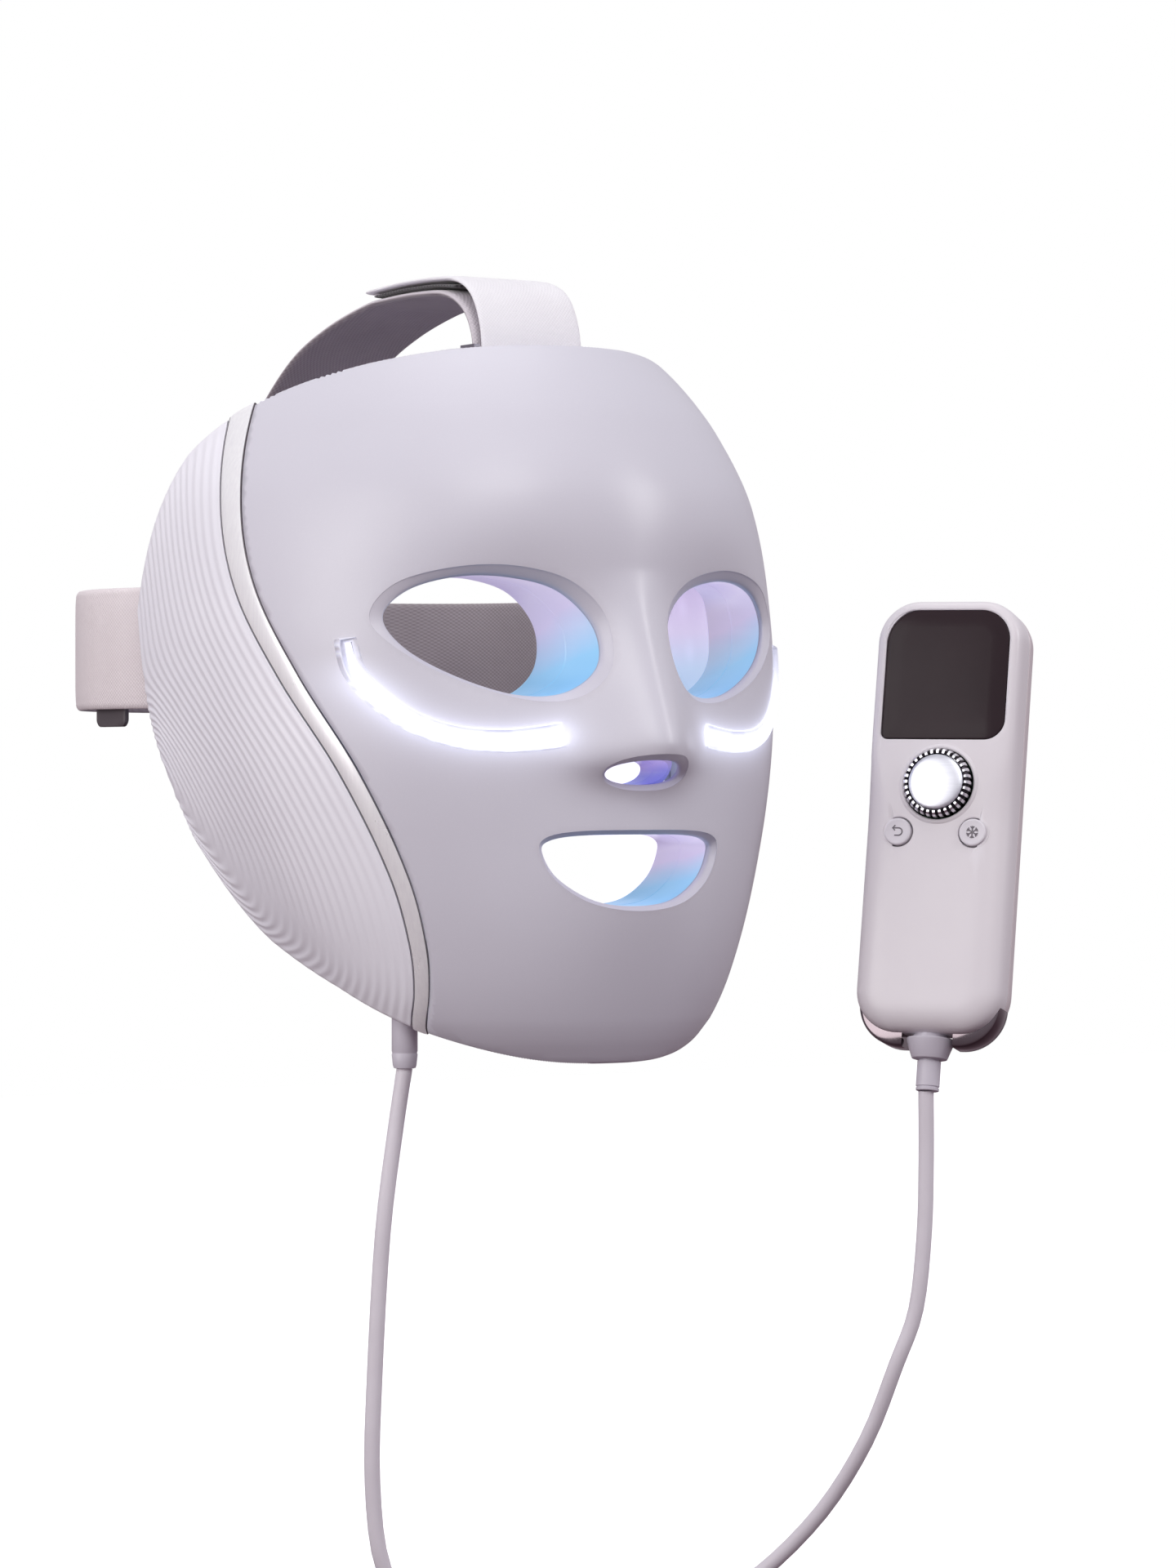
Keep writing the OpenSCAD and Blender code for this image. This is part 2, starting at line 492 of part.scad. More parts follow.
module back_cover_shell() difference() {
    union() {
        plate(remote_w, remote_h, corner_r, seam_y + 0.1, remote_t / 2 - rim_step, tail);
        plate(remote_w - 4, remote_h - 4, 11.5, remote_t / 2 - rim_step - 0.1, remote_t / 2, tail);
    }
    plate(remote_w - 2 * wall, remote_h - 2 * wall, 11.5, seam_y - 1, remote_t / 2 - rim_step - flange, tail);
    plate(remote_w - 9, remote_h - 9, 9.5, seam_y - 1, remote_t / 2 - 2, tail);
}
module remote_back() color("#c2bbc6") on_remote() difference() {
    union() {
        back_cover_shell();
        remote_posts(5.4, seam_y + 0.1, remote_t / 2 - 1.5);
    }
    remote_posts(2.1, seam_y - 1, remote_t);
    remote_posts(3.8, remote_t / 2 - 1.1, remote_t);
    translate([-remote_w / 2 - 1, seam_y - 1.85, port_z]) cube([9, 3.6, 9.6]);
    translate([0, 0, -remote_h / 2]) cylinder(d = lead_bore, h = 14);
}
module tail_trim() color("#8a8790") on_remote() difference() {
    plate(remote_w - 1, remote_h, corner_r, remote_front_y + 3.5, remote_t / 2 - 3.5);
    plate(remote_w + 0.2, remote_h + 0.2, corner_r, remote_front_y, remote_t / 2, tail);
    translate([0, 0, 40]) plate(remote_w + 2, remote_h + 30, 3, remote_front_y - 1, remote_t / 2 + 1);
    translate([0, 0, -remote_h / 2 - 1]) cylinder(d = lead_bore + 4, h = 14);
}
module screen_window() color("#231c20") on_remote() translate([0, 0, screen_z])
    plate(window_w - 0.2, window_h - 0.2, 3.9, remote_front_y + 0.1, remote_front_y + 1.4);
module display_module() color("#101014") on_remote() translate([0, 0, screen_z])
    plate(window_w - 3, window_w - 3, 1, remote_front_y + 1.5, remote_front_y + 4);
// The dial turns on the encoder's bush, and the cap's stem slides inside the bush
dial_front_y = -13.6;
bush_d = 6.04;
stem_d = 4;
module dial_ring() color("#b5b3ba") on_remote() difference() {
    union() {
        along_y(0, dial_z, dial_d, dial_front_y, -9.2);
        for (i = [0:35]) translate([0, 0, dial_z]) rotate([0, i * 10, 0])
            translate([dial_d / 2 - 0.4, dial_front_y + 0.4, -0.35]) cube([0.55, 2.6, 0.7]);
    }
    along_y(0, dial_z, dial_d - 3.2, dial_front_y - 0.4, -10.6);
    along_y(0, dial_z, bush_d + 0.06, -15, -8);
}
module dial_cap() color("#e4e6f0") on_remote() {
    along_y(0, dial_z, dial_d - 3.8, dial_front_y - 0.6, dial_front_y + 1.4);
    along_y(0, dial_z, stem_d, dial_front_y + 1.3, -5);
}
module dial_encoder() color("#3c3c42") on_remote() difference() {
    union() {
        translate([-6.5, -7, dial_z - 6.5]) cube([13, 4.5, 13]);
        along_y(0, dial_z, bush_d, -11, -6.9);
    }
    along_y(0, dial_z, stem_d + 0.06, -12, -3.8);
}
module remote_button(x) on_remote() {
    along_y(x, button_z, button_d, -10.9, -7.3);
    along_y(x, button_z, button_d + 1.6, -7.7, -7.1);
    along_y(x, button_z, 2, -7.2, -6.3);
}
module back_button() color("#d6d0d8") remote_button(-button_x);
module cool_button() color("#d6d0d8") remote_button(button_x);
module button_switches() color("#44444a") on_remote() for (x = [-1, 1])
    translate([x * button_x - 2.5, -5.6, button_z - 2.5]) cube([5, 3.1, 5]);
module remote_board() color("#2f6d4f") on_remote() difference() {
    translate([0, 0, 1]) plate(37, 118, 5, -2.4, -0.8);
    remote_posts(5, -4, 2);
}
module battery() color("#9aa4ac") on_remote() translate([-15, 0, -44]) cube([30, 5.4, 54]);
module usb_port() color("#c8c8cc") on_remote() translate([-22.6, -0.7, -33.7]) difference() {
    cube([7.6, 3.3, 9]);
    translate([-1, 0.5, 0.5]) cube([6, 2.3, 8]);
}
module remote_gland() color("#c3bfcb") on_remote() rotate_extrude()
    polygon([[0, -60], [5.5, -60], [5.5, -66], [7.4, -66.1], [5.3, -72.4], [3.5, -72.4], [3.5, -82],
        [0, -82]]);
module remote_screws() color("#9a9aa2") on_remote() {
    remote_posts(2, -5, remote_t / 2 - 1);
    remote_posts(3.6, remote_t / 2 - 1, remote_t / 2 - 0.1);
}

// ---------- cord
function ring_at(p, i, r, n) =
    let(t = unit(p[min(i + 1, len(p) - 1)] - p[max(i - 1, 0)]),
        a = unit(cross(t, [0.3, 0.95, 0.1])), b = cross(t, a))
    [for (k = [0:n - 1]) p[i] + (a * cos(k * 360 / n) + b * sin(k * 360 / n)) * r];
module cord_run(route) {
    p = smooth_open(route, 3);
    loft([for (i = [0:len(p) - 1]) ring_at(p, i, cord_d / 2, 8)]);
}
module cord_mask_run() color("#cbc8d2") cord_run(MASK_CORD);
module cord_remote_run() color("#cbc8d2") cord_run(REMOTE_CORD);
module cord_coil() color("#cbc8d2") translate([coil_at[0], coil_at[1], floor_z]) rotate_extrude($fn = 64)
    translate([coil_r - coil_turns_h / 2, 0]) square([coil_turns_h, coil_turns_h]);
module cord_tie() color("#3a3a3e") translate([coil_at[0], coil_at[1], floor_z]) difference() {
    translate([-3, coil_r - coil_turns_h / 2 - 1.4, 0]) cube([6, coil_turns_h + 2.6, coil_turns_h + 1.2]);
    translate([-4, coil_r - coil_turns_h / 2 - 0.4, -1]) cube([8, coil_turns_h + 0.6, coil_turns_h + 1.2]);
}

front_shell();
side_panel_right();
side_panel_left();
trim_strip_right();
trim_strip_left();
inner_liner();
edge_rim();
eye_tunnel_right();
eye_tunnel_left();
nose_tunnel();
mouth_tunnel();
light_bar_right();
light_bar_left();
led_board_forehead();
led_board_right();
led_board_left();
led_board_chin();
leds();
cold_plate_right();
cold_plate_left();
peltiers();
heat_sinks();
fan_housing_right();
fan_housing_left();
fan_impeller_right();
fan_impeller_left();
main_board();
forehead_pad();
mask_screws();
mask_gland();
top_anchor();
top_strap();
strap_flap();
hook_patch();
rear_strap();
side_anchors();
strap_sliders();
remote_front();
remote_back();
tail_trim();
screen_window();
display_module();
dial_ring();
dial_cap();
dial_encoder();
back_button();
cool_button();
button_switches();
remote_board();
battery();
usb_port();
remote_gland();
remote_screws();
cord_mask_run();
cord_coil();
cord_remote_run();
cord_tie();
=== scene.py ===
"""LED face mask with wired handset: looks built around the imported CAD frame. Lengths are in mm up to mesh()."""
import math

import bmesh
import bpy
import numpy as np
from mathutils import Euler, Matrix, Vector
from mathutils.geometry import delaunay_2d_cdt


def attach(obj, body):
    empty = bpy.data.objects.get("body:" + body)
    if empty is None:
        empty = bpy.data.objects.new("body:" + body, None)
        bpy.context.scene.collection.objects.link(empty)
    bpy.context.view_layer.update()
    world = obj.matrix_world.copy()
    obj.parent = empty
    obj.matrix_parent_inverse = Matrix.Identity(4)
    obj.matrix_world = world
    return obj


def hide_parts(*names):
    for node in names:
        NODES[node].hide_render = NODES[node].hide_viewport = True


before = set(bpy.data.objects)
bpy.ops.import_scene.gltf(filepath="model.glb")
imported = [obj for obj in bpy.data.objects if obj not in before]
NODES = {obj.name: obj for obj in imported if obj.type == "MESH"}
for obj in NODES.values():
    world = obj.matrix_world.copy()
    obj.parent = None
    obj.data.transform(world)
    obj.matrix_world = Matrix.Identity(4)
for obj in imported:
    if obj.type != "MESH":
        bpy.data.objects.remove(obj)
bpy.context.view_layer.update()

MM = 0.001
scene = bpy.context.scene

# ---------- camera: seen from 33 degrees to the wearer's right, level with the eyes
CAMERA_AZIMUTH = math.radians(-33)
CAMERA_DISTANCE = 1.5
AIM = Vector((0.0, 0.030, -0.046))
AIM_SIDE = 0.01625          # the object stands this far left of the picture's middle
FIELD = 0.480               # long side of the view at the aim point
SENSOR = 36.0
right = Vector((math.cos(CAMERA_AZIMUTH), math.sin(CAMERA_AZIMUTH), 0))
back = Vector((math.sin(CAMERA_AZIMUTH), -math.cos(CAMERA_AZIMUTH), 0))
camera_data = bpy.data.cameras.new("camera")
camera_data.sensor_width = SENSOR
camera_data.lens = SENSOR * CAMERA_DISTANCE / FIELD
camera = bpy.data.objects.new("camera", camera_data)
scene.collection.objects.link(camera)
camera.location = AIM + right * AIM_SIDE + back * CAMERA_DISTANCE
camera.rotation_euler = (-back).to_track_quat("-Z", "Y").to_euler()
scene.camera = camera

# ---------- sections of the mask, the same numbers as in the CAD source
WIDTH = ((-132, 36), (-118, 56), (-94, 71), (-61, 83), (-30, 90), (4, 93), (39, 91), (62, 84), (78, 74), (92, 58))
FRONT = ((-132, -12), (-118, -20), (-94, -26), (-61, -27.5), (-30, -28), (4, -28), (39, -25), (62, -15), (78, -3),
         (92, 12))
DEPTH = ((-132, 32), (-118, 53), (-94, 70), (-61, 78), (-30, 85), (4, 94), (39, 108), (62, 112), (78, 108), (92, 92))
STRIP = ((0, 0.775), (0.075, 0.66), (0.15, 0.607), (0.25, 0.6), (0.4, 0.665), (0.55, 0.78), (0.68, 0.858),
         (0.8, 0.876), (1, 0.842))
EYE = ((68, 3), (62, 11), (50, 15), (36, 15), (22, 11), (13, 1), (13, -11), (22, -19), (36, -19.7), (51, -14.5),
       (63, -6.5))
EYE_LIP = ((72, 3), (66, 13), (52, 17.8), (36, 18.3), (20.5, 14), (11.2, 4), (11.2, -11), (19.8, -20.2), (34, -21.3),
           (52, -15.6), (66, -6.5))
MOUTH_HALF = ((0, -82.2), (14, -80.5), (25, -74), (29.5, -66.5), (28, -63), (19, -61.3), (0, -61))
MOUTH_LIP_HALF = ((0, -83.6), (16, -81.3), (27, -74.4), (31.6, -66), (29.6, -61.7), (20, -59.9), (0, -59.6))
LIGHT_BAR = ((76.5, -4), (75, -13), (70, -21.5), (62, -28.5), (52, -32.3), (41, -33.2), (33, -32.6), (26, -31.6))
REAR_HALF = ((83.3, 102), (84.6, 118), (89.5, 135), (90.5, 150), (85, 168), (72, 187), (52, 199.5), (27, 205.5),
             (0, 207))
TOP_ROUTE = ((36.5, 82), (38, 92), (43.5, 100), (54, 105), (70, 106.3), (90, 106.1), (104, 104.9), (128, 99.5),
             (150, 91), (172, 75), (188, 56), (197, 34), (202, 15), (203.4, 0), (203.4, -20))
FLAP_ROUTE = ((31.5, 82), (33, 94), (38.5, 104), (48, 109), (62, 110.3), (82, 110.4), (102, 109.4))
HOOK_ROUTE = ((50, 107.2), (62, 108.4), (82, 108.6), (98, 107.9))
MASK_CORD = ((-50, 24, -131), (-53, 24.5, -150), (-57, 25, -180), (-59.5, 25.5, -222), (-60, 26, -255),
             (-56, 26, -281), (-44, 24, -299), (-26, 17.5, -307.6), (-10, 13, -308.6), (4, 11.2, -308.6))
REMOTE_CORD = ((42, 11.6, -298.6), (52, 8, -296.4), (63, -1, -288.5), (74, -17, -269), (80, -32, -246),
               (84, -42, -222), (88.5, -46, -205), (90.5, -47.5, -182), (91, -47.8, -160), (91, -47.7, -139))
CORD_D = 4.8
FLOOR_Z = -311
COIL_AT = (25, 41)
COIL_R = 28
LANE, LAYER = 4.9, 4.95     # from one turn of the coil to the next, sideways and upwards
GLAND_AT = (-50, 24)
REAR_SHARE = 1.36
SIDE_RUN = 140
GAP = 0.3
SHELL_T = 2.2
LINER_T = 2.0
LINER_LESS = 12             # the liner is this much narrower than the skin, each side
SIDE_CURL = 1330            # how gently the sides draw in behind the widest place
CAVITY = 26
NOSE_H = 20
NOSE_TIP_Z = -41.5
NOSTRIL_Z = -42.6
NOSE_TOP_Z, NOSE_LONG = 18, 58
# upper and lower edge at the middle of the face, and how far each moves at the sides
MASK_TOP, TOP_FALL, MASK_LOW, LOW_RISE = 87, 90, -130, 62
EDGE_SPAN = 1.42
LINER_EDGE = 7              # the liner stops this far inside the mask's edges
STRIP_HALF = (3.3, 4.8)     # half of the trim strip's width, at its lower and upper end
TUNNEL_T = 1.6
STRAP_Z = -3.5
STRAP_W = 36
RIB_PITCH = 4.2
RIB_HEIGHT = 0.3


def curve(table, x):
    """Cubic Hermite line through the table's points, the slopes from each point's neighbours."""
    k = np.array(table, float)
    x = np.asarray(x, float)
    n = len(k)
    lo, hi = np.maximum(np.arange(n) - 1, 0), np.minimum(np.arange(n) + 1, n - 1)
    slopes = (k[hi, 1] - k[lo, 1]) / (k[hi, 0] - k[lo, 0])
    i = np.clip(np.searchsorted(k[:, 0], x, side="right") - 1, 0, n - 2)
    h = k[i + 1, 0] - k[i, 0]
    t = (x - k[i, 0]) / h
    return ((1 + 2 * t) * (1 - t) ** 2 * k[i, 1] + t * (1 - t) ** 2 * h * slopes[i]
            + t * t * (3 - 2 * t) * k[i + 1, 1] + t * t * (t - 1) * h * slopes[i + 1])


def between(a, b, t):
    return a + (b - a) * t


def smooth_step(t):
    t = np.clip(t, 0, 1)
    return t * t * (3 - 2 * t)


def bell(x, w):
    return np.exp(-(x / w) ** 2)


def step_up(x, w):
    return 1 / (1 + np.exp(-x / w))


def nose_share(z):
    """How far down the nose a height is, from 0 between the brows to 1."""
    return np.clip((NOSE_TOP_Z - z) / NOSE_LONG, 0, 1)


def relief(x, z):
    n = nose_share(z)
    return (NOSE_H * n ** 1.3 * bell(x, 11 + 6 * n) * step_up(z - NOSE_TIP_Z, 2.5)
            - 7 * np.exp(-((np.abs(x) - 38) / 26) ** 2 - ((z - 2) / 20) ** 2)
            + 3 * np.exp(-(x / 30) ** 2 - ((z + 72) / 22) ** 2))


def nose_room(x, z):
    n = nose_share(z)
    return NOSE_H * n ** 1.2 * bell(x, 15 + 9 * n) * step_up(z - NOSE_TIP_Z + 4.5, 4)


def set_out(s, z):
    """The two measures as arrays, with the angle round the face and the straight run behind its widest place."""
    s, z = np.broadcast_arrays(np.asarray(s, float), np.asarray(z, float))
    return s, z, np.minimum(np.abs(s), 1) * math.pi / 2, np.maximum(np.abs(s) - 1, 0) * SIDE_RUN


def skin(s, z):
    """A point on the outer surface; s is the share of the way round, 1 at the widest place."""
    s, z, f, e = set_out(s, z)
    x = np.sign(s) * (curve(WIDTH, z) * np.sin(f) - e * e / SIDE_CURL)
    y = curve(FRONT, z) + curve(DEPTH, z) * (1 - np.cos(f)) + e
    return np.stack([x, y - relief(x, z) * np.clip((1.15 - np.abs(s)) / 0.4, 0, 1), z], -1)


def lining(s, z):
    s, z, f, e = set_out(s, z)
    x = np.sign(s) * ((curve(WIDTH, z) - LINER_LESS) * np.sin(f) - e * e / SIDE_CURL)
    y = curve(FRONT, z) + CAVITY + (curve(DEPTH, z) - CAVITY + 8) * (1 - np.cos(f)) + e
    return np.stack([x, y - nose_room(x, z), z], -1)


def inward(surface, s, z):
    n = np.cross(surface(s, np.asarray(z) + 0.5) - surface(s, np.asarray(z) - 0.5),
                 surface(np.asarray(s) + 0.005, z) - surface(np.asarray(s) - 0.005, z))
    return n / np.linalg.norm(n, axis=-1, keepdims=True)


def closed_form(x, width, front, depth):
    c = np.sqrt(1 - np.minimum(0.99, np.abs(x) / width) ** 2)
    return front + depth * (1 - c)


def skin_y(x, z):
    return closed_form(x, curve(WIDTH, z), curve(FRONT, z), curve(DEPTH, z)) - relief(x, z)


def lining_y(x, z):
    return (closed_form(x, curve(WIDTH, z) - LINER_LESS, curve(FRONT, z) + CAVITY, curve(DEPTH, z) - CAVITY + 8)
            - nose_room(x, z))


def z_top(s):
    return MASK_TOP - TOP_FALL * (np.abs(s) / EDGE_SPAN) ** 3


def z_bottom(s):
    rear_lift = 14 * np.clip((np.abs(s) - 1.17) / 0.2, 0, 1) ** 1.5
    return MASK_LOW + LOW_RISE * (np.abs(s) / EDGE_SPAN) ** 3 + rear_lift


def s_rear(v):
    return REAR_SHARE + 0.05 * (1 - (2 * v - 1) ** 2)


def s_strip(v):
    return curve(STRIP, v)


def strip_half(v):
    return between(*STRIP_HALF, v) / SIDE_RUN


def face_at(s, v, inset=0.0):
    z = between(z_bottom(s), z_top(s), v)
    return skin(s, z) + inward(skin, s, z) * np.asarray(inset)[..., None]


def liner_z(s, v):
    return between(z_bottom(s) + LINER_EDGE, z_top(s) - LINER_EDGE, v)


def liner_at(s, v, inset=0.0):
    z = liner_z(s, v)
    return lining(s, z) + inward(lining, s, z) * np.asarray(inset)[..., None]


def smooth_open(points, k):
    """Catmull-Rom line through points, k steps from each to the next."""
    p = np.array(points, float)
    q = np.concatenate([p[:1], p, p[-1:]])
    out = []
    for i in range(len(p) - 1):
        a, b, c, d = q[i:i + 4]
        for t in np.arange(k) / k:
            out.append(b + (c - a) * t / 2 + (2 * a - 5 * b + 4 * c - d) * t * t / 2
                       + (3 * b - a - 3 * c + d) * t ** 3 / 2)
    return np.array(out + [p[-1]])


def smooth_closed(points, k):
    p = np.array(points, float)
    wrapped = np.concatenate([p[-2:], p, p[:2]])
    return smooth_open(wrapped, k)[2 * k:(2 + len(p)) * k]


def columns(*parts):
    """Points from their coordinates; a single number counts for every point."""
    return np.stack(np.broadcast_arrays(*parts), 1)


def mirrored(half):
    return tuple(half) + tuple((-x, z) for x, z in half[-2:0:-1])


def grown(loop, d):
    t = np.roll(loop, -1, 0) - np.roll(loop, 1, 0)
    t /= np.linalg.norm(t, axis=1, keepdims=True)
    return loop + columns(t[:, 1], -t[:, 0]) * d


def line_normals(p):
    t = np.gradient(p, axis=0)
    t /= np.linalg.norm(t, axis=1, keepdims=True)
    return columns(-t[:, 1], t[:, 0])


# ---------- mesh helpers
def mesh(name, points, faces, smooth_angle=40):
    """A new mesh object; points are in mm."""
    data = bpy.data.meshes.new(name)
    data.from_pydata((np.asarray(points, float) * MM).tolist(), [], [tuple(map(int, f)) for f in faces])
    b = bmesh.new()
    b.from_mesh(data)
    bmesh.ops.remove_doubles(b, verts=b.verts, dist=1e-7)
    bmesh.ops.recalc_face_normals(b, faces=b.faces)
    for f in b.faces:
        f.smooth = True
    limit = math.radians(smooth_angle)
    for e in b.edges:
        e.smooth = not (len(e.link_faces) == 2 and e.calc_face_angle(0) > limit)
    b.to_mesh(data)
    b.free()
    piece = bpy.data.objects.new(name, data)
    scene.collection.objects.link(piece)
    return piece


def grid_faces(rows, cols, closed=False, start=0, flip=False):
    wide = cols if closed else cols - 1
    out = []
    for r in range(rows - 1):
        for c in range(wide):
            a, b = start + r * cols + c, start + r * cols + (c + 1) % cols
            quad = (a, b, b + cols, a + cols)
            out.append(quad[::-1] if flip else quad)
    return out


def rings_mesh(name, rings, smooth_angle=40, loop=False):
    """A tube through rings of equal length, with closed ends; loop joins the last ring to the first instead."""
    rings = [np.asarray(r, float) for r in rings]
    m, k = len(rings[0]), len(rings)
    faces = grid_faces(k, m, closed=True)
    if loop:
        last = (k - 1) * m
        faces += [(last + c, last + (c + 1) % m, (c + 1) % m, c) for c in range(m)]
    else:
        faces += [tuple(range(m))[::-1], tuple(range((k - 1) * m, k * m))]
    return mesh(name, np.concatenate(rings), faces, smooth_angle)


def sheet_mesh(name, outer, inner, smooth_angle=40):
    """A closed sheet between two grids of points."""
    rows, cols = outer.shape[:2]
    n = rows * cols
    faces = grid_faces(rows, cols) + grid_faces(rows, cols, start=n, flip=True)
    around = (list(range(cols - 1)) + [r * cols + cols - 1 for r in range(rows - 1)]
              + [(rows - 1) * cols + c for c in range(cols - 1, 0, -1)] + [r * cols for r in range(rows - 1, 0, -1)])
    faces += [(a, a + n, b + n, b) for a, b in zip(around, around[1:] + around[:1])]
    return mesh(name, np.concatenate([outer.reshape(-1, 3), inner.reshape(-1, 3)]), faces, smooth_angle)


def revolved(name, profile, place, steps=64, smooth_angle=35):
    """A solid turned about a local axis; profile is (radius, along), place maps (x, along, z) to the frame."""
    rings = []
    for r, along in profile:
        a = np.arange(steps) * 2 * math.pi / steps
        rings.append(place(columns(r * np.cos(a), along, r * np.sin(a))))
    return rings_mesh(name, rings, smooth_angle=smooth_angle)


def inside(points, loop):
    """Which points lie in a closed outline."""
    x, y = points[:, :1], points[:, 1:]
    a, b = loop, np.roll(loop, -1, 0)
    crosses = (a[:, 1] > y) != (b[:, 1] > y)
    with np.errstate(divide="ignore", invalid="ignore"):
        at = a[:, 0] + (y - a[:, 1]) * (b[:, 0] - a[:, 0]) / (b[:, 1] - a[:, 1])
    return ((crosses & (x < at)).sum(1) % 2) == 1


def distance(points, loop, closed=True):
    """How far each point is from an outline."""
    a = loop if closed else loop[:-1]
    b = np.roll(loop, -1, 0) if closed else loop[1:]
    best = np.full(len(points), np.inf)
    for p, q in zip(a, b):
        d = q - p
        t = np.clip(((points - p) @ d) / max(d @ d, 1e-12), 0, 1)
        best = np.minimum(best, np.linalg.norm(points - p - t[:, None] * d, axis=1))
    return best


def trimmed(outline, holes, step, rows=()):
    """Triangles over an outline with holes. Rows are extra points that have to be in it."""
    lo, hi = outline.min(0), outline.max(0)
    gx, gy = np.meshgrid(np.arange(lo[0], hi[0], step), np.arange(lo[1], hi[1], step * 0.9))
    gx = gx + (np.arange(gx.shape[0])[:, None] % 2) * step / 2
    field = columns(gx.ravel(), gy.ravel())
    near = np.min([distance(field, e) for e in (outline, *holes)], axis=0)
    field = field[(near > step * 0.6) & inside(field, outline)]
    if len(rows):
        field = np.concatenate([field[np.min([distance(field, r) for r in rows], axis=0) > step * 0.5], *rows])
    for h in holes:
        field = field[~inside(field, h)]
    loops, edges, n = [], [], 0
    for e in (outline, *holes):
        loops.append(e)
        edges += [(n + i, n + (i + 1) % len(e)) for i in range(len(e))]
        n += len(e)
    points = np.concatenate([*loops, field])
    verts, _, tris, _, _, _ = delaunay_2d_cdt([Vector(p) for p in points], edges, [], 0, 1e-5)
    verts = np.array([tuple(v) for v in verts])
    tris = np.array(tris)
    middle = verts[tris].mean(1)
    keep = inside(middle, outline)
    for h in holes:
        keep &= ~inside(middle, h)
    return verts, tris[keep]


def thick(piece, t):
    """Gives an open surface a wall on its inner side."""
    wall = piece.modifiers.new("wall", "SOLIDIFY")
    wall.thickness = t * MM
    wall.offset = -1
    return piece


def faces_out(piece, towards):
    """Turns an open surface's faces so that most of them look along towards."""
    b = bmesh.new()
    b.from_mesh(piece.data)
    if sum(f.normal.dot(Vector(towards)) * f.calc_area() for f in b.faces) < 0:
        bmesh.ops.reverse_faces(b, faces=b.faces)
    b.to_mesh(piece.data)
    b.free()
    return piece


def numbers(piece, name, values):
    """Keeps one number per point for a material to read."""
    layer = piece.data.attributes.new(name, "FLOAT", "POINT")
    layer.data.foreach_set("value", np.asarray(values, np.float32))


def points_of(piece):
    co = np.zeros(len(piece.data.vertices) * 3, np.float32)
    piece.data.vertices.foreach_get("co", co)
    return co.reshape(-1, 3).astype(float) / MM


# ---------- materials
def linear(hex_colour):
    c = [int(hex_colour[i:i + 2], 16) / 255 for i in (1, 3, 5)]
    return tuple(x / 12.92 if x <= 0.04045 else ((x + 0.055) / 1.055) ** 2.4 for x in c) + (1.0,)


class Nodes:
    """Short calls for building one material's node tree."""

    def __init__(self, name):
        self.material = bpy.data.materials.new(name)
        self.material.use_nodes = True
        self.tree = self.material.node_tree
        self.shader = self.tree.nodes["Principled BSDF"]
        self.where = self.add("ShaderNodeTexCoord").outputs["Object"]

    def add(self, kind, **values):
        node = self.tree.nodes.new(kind)
        for key, value in values.items():
            if hasattr(node, key):
                setattr(node, key, value)
            else:
                node.inputs[key.replace("_", " ")].default_value = value
        return node

    def link(self, a, b):
        self.tree.links.new(a, b)

    def noise(self, scale, detail=3.0, rough=0.5, stretch=None):
        node = self.add("ShaderNodeTexNoise", Scale=scale, Detail=detail, Roughness=rough)
        if stretch:
            mapping = self.add("ShaderNodeMapping")
            mapping.inputs["Scale"].default_value = stretch
            self.link(self.where, mapping.inputs["Vector"])
            self.link(mapping.outputs["Vector"], node.inputs["Vector"])
        else:
            self.link(self.where, node.inputs["Vector"])
        return node.outputs["Fac"]

    def span(self, source, low, high, from_low=0.3, from_high=0.7):
        node = self.add("ShaderNodeMapRange")
        for i, value in enumerate((from_low, from_high, low, high), 1):
            node.inputs[i].default_value = value
        self.link(source, node.inputs[0])
        return node.outputs[0]

    def math(self, operation, a, b=0.0):
        node = self.add("ShaderNodeMath", operation=operation)
        for i, value in enumerate((a, b)):
            if isinstance(value, (int, float)):
                node.inputs[i].default_value = value
            else:
                self.link(value, node.inputs[i])
        return node.outputs[0]

    def mix(self, share, a, b):
        node = self.add("ShaderNodeMix", data_type="RGBA")
        if isinstance(share, (int, float)):
            node.inputs["Factor"].default_value = share
        else:
            self.link(share, node.inputs["Factor"])
        for key, value in (("A", a), ("B", b)):
            socket = [i for i in node.inputs if i.name == key and i.type == "RGBA"][0]
            if isinstance(value, tuple):
                socket.default_value = value
            else:
                self.link(value, socket)
        return [o for o in node.outputs if o.type == "RGBA"][0]

    def cloud(self, colour, other, scale, detail):
        """A colour that drifts between two."""
        return self.mix(self.span(self.noise(scale, detail), 0, 1), linear(colour), linear(other))

    def axis(self, name):
        """How far along one axis a point is, in metres."""
        split = self.add("ShaderNodeSeparateXYZ")
        self.link(self.where, split.inputs[0])
        return split.outputs[name]

    def ramp(self, source, stops):
        node = self.add("ShaderNodeValToRGB")
        marks = node.color_ramp.elements
        while len(marks) < len(stops):
            marks.new(0.5)
        for mark, (at, colour) in zip(marks, stops):
            mark.position, mark.color = at, linear(colour)
        self.link(source, node.inputs[0])
        return node.outputs["Color"]

    def attribute(self, name):
        return self.add("ShaderNodeAttribute", attribute_name=name).outputs["Fac"]

    def bump(self, height, strength, depth):
        node = self.add("ShaderNodeBump", Strength=strength, Distance=depth)
        self.link(height, node.inputs["Height"])
        return node.outputs["Normal"]

    def set(self, **values):
        for key, value in values.items():
            socket = self.shader.inputs[key.replace("_", " ")]
            if isinstance(value, (int, float, tuple)):
                socket.default_value = value
            else:
                self.link(value, socket)
        return self.material


